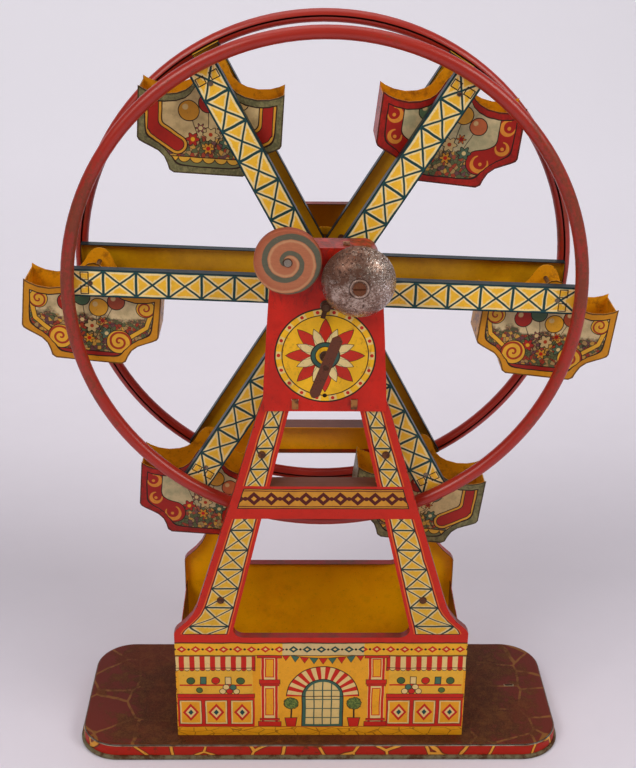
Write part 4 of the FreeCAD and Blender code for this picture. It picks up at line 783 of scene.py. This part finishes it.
# scuffs: the upper part is rubbed down to a dull brownish red, the top fold to pale red
scr = n.noise(n.join(n.x, n.y, n.z * 0.5), 0.20, 6, 0.7, 94, 0.6)
up = n.rise(n.z, 276.0, 309.0)
scuff = n.rise(scr + up * 0.16, 0.56, 0.72)
front = n.rise(-n.y, 42.55, 42.7)
col = n.mix(scuff * 0.75 * front, col, C(104, 40, 32))
flange = n.mix(n.rise(scr, 0.42, 0.56), C(176, 56, 44), C(120, 48, 38))
inside_c = n.mix(scr, C(120, 74, 30), C(84, 56, 34))
near_side = n.curve(n.z, COVER_EDGE) - n.ab(n.x)
near_top = 312.6 - n.z
col = n.mix(front, n.mix(n.inside(n.mn(near_side, near_top) - 0.30, 0.1), inside_c, flange), col)
give(["head_cover"], enamel(n, col, seed=95, chips=0.745, rough=0.40, dents=0.12,
                            edge=n.mx(n.inside(near_top - 1.3, 1.6), n.inside(near_side - 0.6, 0.8)) * 0.8))
give(["cover_tabs"], steel("tab_brass", C(178, 128, 78), 97, rust=0.56, rough=0.40, rust_colours=(C(120, 70, 40), C(80, 46, 30))))

# ------------------------------------------------------------------ gondolas

ARCH = [(0.0, 7.8), (2.8, 7.2), (5.0, 5.3), (6.7, 2.6), (8.2, -0.6), (10.0, -3.4), (12.8, -5.7), (17.0, -7.5), (23.0, -8.5),
        (29.0, -8.0), (33.5, -6.6), (36.5, -5.0)]
CHAMFER = [(-48.2, 17.5), (-46.8, 19.8), (-43.6, 20.9), (-40.2, 22.6), (-37.4, 25.6), (-35.6, 29.4), (-34.0, 33.0),
           (-32.6, 35.6), (-31.0, 36.5), (8.0, 36.5)]
UNDER = [(0.0, -48.2), (17.5, -48.2), (19.8, -46.8), (20.9, -43.6), (22.6, -40.2), (25.6, -37.4), (29.4, -35.6), (33.0, -34.0),
         (35.6, -32.6), (36.5, -31.0)]


def bar_distance(n, u, w, a, b):
    """Distance of (u, w) from the straight line between a and b."""
    length = math.hypot(b[0] - a[0], b[1] - a[1])
    du, dw = (b[0] - a[0]) / length, (b[1] - a[1]) / length
    along = (u - a[0]) * du + (w - a[1]) * dw
    across = (u - a[0]) * dw - (w - a[1]) * du
    over = n.mx(n.ab(along - length / 2.0) - length / 2.0, 0.0)
    return n.op("SQRT", over * over + across * across)


def hedge(n, col, g, top, seed):
    """A bank of small blossoms and leaves, inked, below the height -top."""
    where = n.rise(-g + (n.noise(n.P, 0.3, 3, 0.6, seed) - 0.5) * 7.0, top, top + 0.6)
    tone, tone2, _ = n.split(n.cells(n.P, 0.55, colour=True))
    edge = n.inside(n.cells(n.P, 0.55, "DISTANCE_TO_EDGE") - 0.055, 0.03)
    c = n.mix(n.op("GREATER_THAN", tone, 0.36), C(96, 112, 82), C(186, 160, 116))
    c = n.mix(n.op("GREATER_THAN", tone, 0.60), c, C(116, 74, 92))
    c = n.mix(n.op("GREATER_THAN", tone, 0.78), c, C(176, 62, 42))
    c = n.mix(n.op("GREATER_THAN", tone2, 0.86), c, C(222, 178, 84))
    c = n.mix(edge * 0.85, c, INK)
    return n.mix(where * 0.9, col, c)


def outline_distance(n, a, g):
    """How far a point is inside the sides, steps and bottom of a gondola's outline."""
    hx = n.mx(n.curve(g, CHAMFER) - a, 0.001)
    vz = n.mx(g - n.curve(a, UNDER), 0.001)
    return hx * vz / n.op("SQRT", hx * hx + vz * vz)


def gondola_material(k, angle, lean, livery):
    n = Net("gondola_%d_tin" % k)
    cx = 122.0 * math.cos(math.radians(angle))
    cz = AXLE_Z + 122.0 * math.sin(math.radians(angle))
    cl, sl = math.cos(math.radians(lean)), math.sin(math.radians(lean))
    wob = n.noise(n.P, 0.14, 2, 0.5, 100 + k, colour=True)
    p = n.vop("ADD", n.P, n.vop("SCALE", n.vop("SUBTRACT", wob, (0.5, 0.5, 0.5)), scale=0.8))
    x, _, z = n.split(p)
    gx = n.along(p, (cl, 0.0, -sl), -cx * cl + cz * sl)
    gz = n.along(p, (sl, 0.0, cl), -cx * sl - cz * cl)
    ax = n.ab(gx)
    q = n.join(ax, gz)
    top = n.curve(ax, ARCH)
    # distance inside the outline
    d_top = (top - gz) * 0.92
    rim_d = n.mn(outline_distance(n, ax, gz), d_top)
    field = rim_d - 3.6
    mott = n.noise(n.P, 0.42, 4, 0.65, 110 + k)
    blot = n.noise(n.P, 0.16, 3, 0.6, 120 + k)
    if livery == "yellow":
        border = n.mix(mott, C(238, 178, 40), C(210, 142, 28))
        ground = n.mix(n.rise(blot, 0.40, 0.60), C(236, 226, 200), C(206, 196, 168))
        # leafy tangle in the lower half
        tang = n.noise(n.P, 0.55, 5, 0.7, 130 + k, 1.4)
        leaf = n.mix(n.rise(tang, 0.48, 0.52), C(88, 104, 76), C(104, 62, 76))
        leaf = n.mix(n.rise(tang, 0.56, 0.60), leaf, C(196, 162, 104))
        col = n.mix(n.rise(-gz + (blot - 0.5) * 14.0, 21.0, 23.0), ground, leaf)
        col = hedge(n, col, gz, 24.0, 140 + k)
        col = n.mix(n.inside(gz + 42.0), col, C(164, 40, 34))
        col = n.mix(n.line(gz + 42.0, 0.3), col, INK)
        scroll_col, scroll_back = C(246, 196, 66), C(176, 60, 36)
    elif livery == "green":
        border = n.mix(n.rise(mott, 0.42, 0.58), C(142, 144, 112), C(104, 108, 84))
        ground = n.mix(n.rise(blot, 0.40, 0.62), C(230, 214, 176), C(200, 184, 148))
        col = n.mix(n.rise(-gz + (blot - 0.5) * 10.0, 30.0, 31.0), ground, n.mix(mott, C(120, 128, 100), C(150, 146, 116)))
        col = hedge(n, col, gz, 29.0, 140 + k)
        # scalloped strip at the foot
        strip = n.mx(n.ab(gz + 42.0) - 2.4, ax - 25.0)
        sc = (n.fract(gx / 6.2 + 10.5) - 0.5) * 6.2
        cup = n.dist(n.join(sc, gz), (0.0, -39.2)) - 3.3
        col = n.mix(n.inside(strip), col, n.mix(n.inside(cup), C(120, 128, 96), C(236, 190, 74)))
        col = n.mix(n.line(cup, 0.22) * n.inside(strip), col, INK)
        col = n.mix(n.line(strip, 0.25), col, INK)
        # boot-shaped seat ends, red with a yellow edge
        leg = n.box(ax, gz, 28.6, -17.6, 2.0, 8.0) - 2.3
        foot = bar_distance(n, ax, gz, (27.2, -26.6), (16.0, -33.6)) - 4.9
        seat = n.op("SMOOTH_MIN", leg, foot, 3.0)
        col = n.mix(n.inside(seat), col, C(232, 176, 64))
        col = n.mix(n.inside(seat + 1.7), col, n.mix(mott, C(190, 42, 32), C(160, 36, 30)))
        col = n.mix(n.line(seat + 1.7, 0.22), col, INK)
        col = n.mix(n.line(seat, 0.3), col, INK)
    else:
        border = n.mix(n.rise(mott, 0.40, 0.60), C(186, 38, 32), C(148, 34, 30))
        ground = n.mix(n.rise(blot, 0.40, 0.62), C(220, 214, 190), C(184, 188, 166))
        low = n.rise(-gz + (mott - 0.5) * 8.0, 35.0, 36.0)
        col = n.mix(low, ground, n.mix(mott, C(84, 112, 100), C(128, 142, 120)))
        col = hedge(n, col, gz, 30.0, 140 + k)
        # red side pieces with pale C scrolls
        seat = n.mn(n.box(ax, gz, 29.5, -19.0, 5.0, 11.0), n.dist(q, (16.6, -35.2)) - 6.4)
        neck = bar_distance(n, ax, gz, (28.0, -28.6), (21.0, -32.6)) - 4.6
        seat = n.op("SMOOTH_MIN", seat, neck, 4.0)
        col = n.mix(n.inside(seat), col, n.mix(mott, C(190, 40, 32), C(160, 34, 28)))
        for (sx0, sz0, rad, a0) in ((29.0, -15.6, 3.5, 0.6), (27.2, -26.4, 3.1, 2.2), (17.4, -35.6, 4.1, 1.2)):
            rr_ = n.dist(q, (sx0, sz0))
            ang = n.turn(ax - sx0, gz - sz0)
            cut = n.op("COSINE", ang - a0)
            thick = n.op("MULTIPLY_ADD", cut, -0.45, 0.62)
            stroke = n.inside(n.ab(rr_ - rad) - thick, 0.2) * n.rise(-cut, -0.80, -0.70)
            col = n.mix(stroke, col, C(236, 160, 66))
            col = n.mix(n.inside(n.dist(q, (sx0 + 0.3, sz0 - 0.4)) - 0.9), col, C(236, 160, 66))
        col = n.mix(n.line(seat, 0.26), col, INK)
    # picture field: balloons on strings and blossoms, another set for each livery
    pic = {"yellow": [(-13.5, -15.5, 4.8, C(180, 44, 34)), (-5.4, -12.0, 4.4, C(80, 114, 98)), (3.6, -16.8, 5.0, C(240, 184, 56)),
                      (12.6, -12.8, 4.6, C(176, 84, 60))],
           "green": [(-10.8, -16.0, 5.2, C(220, 162, 56)), (-1.2, -11.8, 4.8, C(180, 46, 36)), (8.6, -16.6, 5.2, C(96, 132, 128)),
                     (15.4, -10.6, 3.6, C(226, 200, 150))],
           "red": [(-13.0, -12.4, 4.2, C(92, 126, 108)), (-4.2, -16.4, 5.4, C(204, 60, 44)), (5.8, -12.0, 4.6, C(236, 182, 70)),
                   (13.8, -17.0, 4.4, C(210, 120, 84))]}[livery]
    pf = n.join(gx, gz)
    for (bx0, bz0, rad, tone) in pic:
        string = n.mx(n.ab(gx - bx0 * 1.0 + (gz - bz0) * (-bx0 / 28.0)) - 0.22, gz - bz0, -34.0 - gz)
        col = n.mix(n.inside(string, 0.15) * 0.9, col, INK)
    for (bx0, bz0, rad, tone) in pic:
        dd = n.dist(pf, (bx0, bz0)) - rad
        col = n.mix(n.inside(dd), col, tone)
        col = n.mix(n.inside(n.dist(pf, (bx0 - rad * 0.35, bz0 + rad * 0.35)) - rad * 0.28, 0.5) * 0.8, col, CREAM)
        col = n.mix(n.line(dd, 0.24), col, INK)
    for (fx0, fz0, rr_, tone, heart) in ((-8.4, -30.5, 2.9, C(186, 46, 36), YELLOW), (0.6, -27.6, 3.3, C(222, 204, 160), C(190, 70, 36)),
                                         (8.6, -31.2, 2.9, C(84, 116, 106), CREAM), (-0.4, -34.8, 2.4, C(226, 166, 54), RED),
                                         (-4.6, -24.6, 1.9, C(150, 92, 96), CREAM), (6.2, -24.2, 1.8, C(204, 120, 60), RED_DEEP)):
        fl = n.petals(gx - fx0, gz - fz0, 6, rr_, 0.7)
        col = n.mix(n.inside(fl), col, tone)
        col = n.mix(n.line(fl, 0.24), col, INK)
        col = n.mix(n.inside(n.dist(pf, (fx0, fz0)) - 1.05), col, heart)
    if livery == "yellow":
        for (sx0, sz0, rad, turns, hand, st) in ((15.6, -35.4, 6.4, 2.0, 1.0, 0.1), (28.4, -15.2, 4.6, 1.6, -1.0, 0.35)):
            disc_m = n.inside(n.dist(q, (sx0, sz0)) - rad - 0.3)
            col = n.mix(disc_m, col, scroll_back)
            sc_m = n.scroll(ax - sx0, gz - sz0, rad + 0.2, turns, 1.05, hand, st)
            col = n.mix(sc_m, col, scroll_col)
            col = n.mix(n.line(n.dist(q, (sx0, sz0)) - rad - 0.3, 0.22), col, INK)
        # a hooked stem that joins the scrolls, running into both
        stem = n.mn(bar_distance(n, ax, gz, (31.6, -18.0), (29.6, -26.0)), bar_distance(n, ax, gz, (29.6, -26.0), (21.4, -32.2))) - 1.25
        stem = n.mx(stem, 4.9 - n.dist(q, (28.4, -15.2)), 6.7 - n.dist(q, (15.6, -35.4)))
        col = n.mix(n.inside(stem), col, scroll_col)
        col = n.mix(n.line(stem, 0.2), col, INK)
    col = n.mix(n.inside(-field), border, col)
    col = n.mix(n.line(field, 0.3), col, INK)
    col = n.mix(n.line(rim_d - 0.35, 0.40, 0.3) * 0.8, col, C(58, 40, 28))
    col = n.vop("MULTIPLY", col, (0.84, 0.79, 0.76))
    outer = n.rise(n.ab(n.y), 12.85, 12.93)
    # the tub seen from inside and from below
    tub_n = n.noise(n.P, 0.20, 5, 0.66, 140 + k)
    if livery == "yellow":
        ins = n.mix(n.rise(tub_n, 0.50, 0.72), C(226, 160, 20), C(150, 96, 28))
        und = n.mix(n.rise(tub_n, 0.46, 0.60), C(226, 170, 58), C(150, 100, 50))
    elif livery == "green":
        ins = n.mix(n.rise(tub_n, 0.50, 0.72), C(216, 150, 24), C(140, 92, 32))
        und = n.mix(n.rise(tub_n, 0.40, 0.60), C(140, 142, 118), C(104, 104, 88))
    else:
        ins = n.mix(n.rise(tub_n, 0.50, 0.72), C(222, 154, 20), C(146, 90, 26))
        und = n.mix(n.rise(tub_n, 0.46, 0.62), C(180, 44, 38), C(120, 54, 44))
    panel_in = n.rise(n.ab(n.y), 12.35, 12.5)
    tx = n.ab(n.along(n.P, (cl, 0.0, -sl), -cx * cl + cz * sl))
    tz = n.along(n.P, (sl, 0.0, cl), -cx * sl - cz * cl)
    tub_out = n.inside(outline_distance(n, tx, tz) - 0.24, 0.1)
    body = n.mix(tub_out, ins, und)
    col = n.mix(outer, body, col)
    rub = n.inside(n.mx(rim_d, -3.0) - 0.8, 1.4)
    return enamel(n, col, seed=150 + k, chips=0.735, rough=0.42, dents=0.13, edge=rub * 0.9,
                  edge_colour=C(120, 84, 56) if livery == "green" else RUST)


for k, (a, t, liv) in enumerate(zip(ANGLES, LEAN, ("yellow", "red", "green", "yellow", "red", "green")), 1):
    give(["gondola_%d" % k], gondola_material(k, a, t, liv))

# ------------------------------------------------------------------ base tray

n = Net("tray_tin")
fine = n.noise(n.P, 1.2, 6, 0.72, 161)
mid = n.noise(n.P, 0.14, 6, 0.66, 162, 0.5)
big = n.noise(n.P, 0.032, 4, 0.6, 163)
wob = n.noise(n.P, 0.10, 2, 0.5, 164, colour=True)
p = n.vop("ADD", n.P, n.vop("SCALE", n.vop("SUBTRACT", wob, (0.5, 0.5, 0.5)), scale=2.2))
crack = n.cells(p, 1.0 / 26.0, "DISTANCE_TO_EDGE")
paint = n.mix(big, C(186, 42, 28), C(160, 38, 28))
flag_line = n.inside(crack - 0.026, 0.010)
flag_dark = n.inside(crack - 0.046, 0.012)
pav = n.mix(flag_dark, paint, C(110, 50, 30))
pav = n.mix(flag_line, pav, n.mix(mid, C(240, 196, 90), C(206, 150, 60)))
# the flat top has lost nearly all its print; what is left sits near the ends and the edge
edge_d = 23.0 - n.vop("LENGTH", n.join(n.mx(n.ab(n.x) - 118.5, 0.0), n.mx(n.ab(n.y) - 28.0, 0.0)), value=True)
ends = n.rise(n.ab(n.x), 100.0, 138.0)
keep = ends * 0.42 + n.rise(-edge_d, -9.0, -1.0) * 0.14
lost = n.rise(mid * 0.55 + big * 0.45 - keep * 0.40, 0.335, 0.42)
rustc = n.mix(n.rise(fine, 0.38, 0.60), C(96, 52, 24), C(58, 30, 14))
rustc = n.mix(n.rise(mid, 0.48, 0.64) * 0.5, rustc, C(112, 68, 30))
rustc = n.mix(n.rise(big, 0.48, 0.62) * 0.45, rustc, C(106, 42, 24))
rustc = n.mix(n.rise(n.noise(n.P, 0.5, 6, 0.75, 166), 0.56, 0.66) * 0.6, rustc, C(48, 28, 18))
topc = n.mix(flag_line * 0.55, n.mix(fine, C(112, 32, 18), C(88, 34, 18)), C(150, 104, 42))
top_col = n.mix(lost, topc, rustc)
ghost = flag_line * lost * 0.07
top_col = n.mix(ghost, top_col, C(136, 92, 48))
skirt = n.mix(n.rise(mid + (fine - 0.5) * 0.4, 0.60, 0.68), pav, C(96, 50, 30))
skirt = n.mix(n.rise(n.z + (mid - 0.5) * 4.0, 8.2, 9.6), skirt, rustc)
skirt = n.vop("MULTIPLY", skirt, (1.0, 0.76, 0.50))
is_top = n.rise(n.nz, 0.55, 0.85) * n.rise(n.z, 8.5, 9.0)
col = n.mix(is_top, skirt, top_col)
bead = n.rise(2.95 - n.z, 0.0, 0.35)
beadc = n.mix(n.rise(mid + (fine - 0.5) * 0.3, 0.44, 0.56), C(112, 104, 78), C(78, 50, 28))
col = n.mix(bead, col, beadc)
under = n.inside(n.mx(n.z - 9.55, 0.25 - edge_d), 0.1)
col = n.mix(under, col, n.mix(n.rise(mid, 0.44, 0.60), C(150, 146, 130), C(112, 74, 46)))
slot = n.inside(n.mx(n.ab(n.x - 119.1) - 3.0, n.ab(n.y - 5.7) - 1.0) , 0.4)
col = n.mix(slot * is_top, col, C(170, 150, 120))
rust_amt = n.mx(is_top * lost, bead * n.rise(mid, 0.50, 0.60))
rough = n.op("MULTIPLY_ADD", rust_amt, 0.22, 0.46) + (fine - 0.5) * 0.2
h = fine * 0.05 * 1.0 + mid * 0.10 + n.noise(n.P, 0.03, 2, 0.5, 165) * 0.5
give(["base_tray"], n.finish(col, rough, 0.0, h, 0.14, 0.02, 0.3))

# ------------------------------------------------------------------ floor, light, camera


def sweep():
    """A pale studio sweep: floor that rises in one curve into the backdrop."""
    prof = [(-2.6, 0.0), (-1.2, 0.0), (0.0, 0.0), (0.9, 0.0), (1.25, 0.02), (1.55, 0.10), (1.80, 0.26), (1.98, 0.50), (2.08, 0.85),
            (2.10, 1.4), (2.10, 2.6)]
    verts, faces = [], []
    cols = 24
    for i in range(cols + 1):
        x = -3.0 + 6.0 * i / cols
        for (y, z) in prof:
            verts.append((x, y, z))
    m = len(prof)
    for i in range(cols):
        for j in range(m - 1):
            faces.append((i * m + j, (i + 1) * m + j, (i + 1) * m + j + 1, i * m + j + 1))
    me = bpy.data.meshes.new("floor_sweep")
    me.from_pydata(verts, [], faces)
    for f in me.polygons:
        f.use_smooth = True
    o = bpy.data.objects.new("floor_sweep", me)
    bpy.context.scene.collection.objects.link(o)
    mod = o.modifiers.new("round", "SUBSURF")
    mod.levels = mod.render_levels = 2
    n = Net("floor_paper")
    grain = n.noise(n.P, 0.05, 4, 0.6, 171)
    cc = n.mix(grain, C(233, 228, 240), C(229, 224, 236))
    # painted light and shade on the paper: a darker belt of painted shade behind the toy, and a painted glow that
    # brightens the far end
    tone = n.curve(n.y, [(-400.0, 1.0), (-60.0, 1.0), (40.0, 0.90), (150.0, 0.82), (250.0, 0.90), (360.0, 0.97), (500.0, 1.0)])
    painted_far_glow = n.curve(n.y, [(60.0, 0.0), (200.0, 0.02), (360.0, 0.09), (700.0, 0.17), (1200.0, 0.26), (2100.0, 0.31)])
    painted_far_glow = painted_far_glow + n.rise(-n.x, -600.0, 900.0) * n.rise(n.y, 700.0, 1800.0) * 0.05
    # the glow is emission: the far paper and its back left give off light of their own, as painted light
    n.bsdf.inputs["Emission Color"].default_value = (0.965, 0.975, 1.0, 1.0)
    n.put(n.bsdf.inputs["Emission Strength"], painted_far_glow)
    o.data.materials.append(n.finish(n.times(cc, tone), 0.85, 0.0, None, 0.2))


sweep()


def area(name, place, target, size, power, colour=(1, 1, 1), size_y=None):
    L = bpy.data.lights.new(name, "AREA")
    L.energy = power
    L.color = colour
    L.shape = "RECTANGLE" if size_y else "SQUARE"
    L.size = size
    if size_y:
        L.size_y = size_y
    o = bpy.data.objects.new(name, L)
    o.location = place
    o.rotation_euler = (Vector(target) - Vector(place)).to_track_quat("-Z", "Y").to_euler()
    bpy.context.scene.collection.objects.link(o)
    return o


area("key_light", (-0.95, -1.05, 1.35), (0, 0, 0.2), 0.8, 13.0, (1.0, 0.96, 0.91))
area("fill_light", (1.15, -0.75, 1.15), (0, 0, 0.25), 0.7, 10.5, (1.0, 0.97, 0.93))
area("top_light", (0.0, 0.2, 1.7), (0, 0, 0.2), 1.2, 8.0, (1.0, 0.97, 0.95))
world = bpy.data.worlds.new("studio")
bpy.context.scene.world = world
world.use_nodes = True
bg = world.node_tree.nodes.get("Background")
bg.inputs["Color"].default_value = (0.86, 0.81, 0.80, 1.0)
bg.inputs["Strength"].default_value = 0.19

cam_data = bpy.data.cameras.new("camera")
cam = bpy.data.objects.new("camera", cam_data)
bpy.context.scene.collection.objects.link(cam)
cam_data.sensor_fit = "VERTICAL"
cam_data.sensor_height = 36.0
cam_data.lens = 1323.9 / 768.0 * 36.0
cam_data.clip_start = 0.02
cam_data.clip_end = 30.0
pos = Vector((-0.01398, -0.66825, 0.5207))
aim = Vector((-0.00083, 0.00475, 0.2191))
fwd = (aim - pos).normalized()
right = fwd.cross(Vector((0, 0, 1))).normalized()
up = right.cross(fwd)
roll = math.radians(0.644)
cr = right * math.cos(roll) + up * math.sin(roll)
cu = -right * math.sin(roll) + up * math.cos(roll)
cam.matrix_world = Matrix(((cr.x, cu.x, -fwd.x, pos.x), (cr.y, cu.y, -fwd.y, pos.y), (cr.z, cu.z, -fwd.z, pos.z), (0, 0, 0, 1)))
bpy.context.scene.camera = cam
bpy.context.scene.view_settings.view_transform = "Standard"
bpy.context.scene.view_settings.look = "None"

bpy.context.view_layer.update()
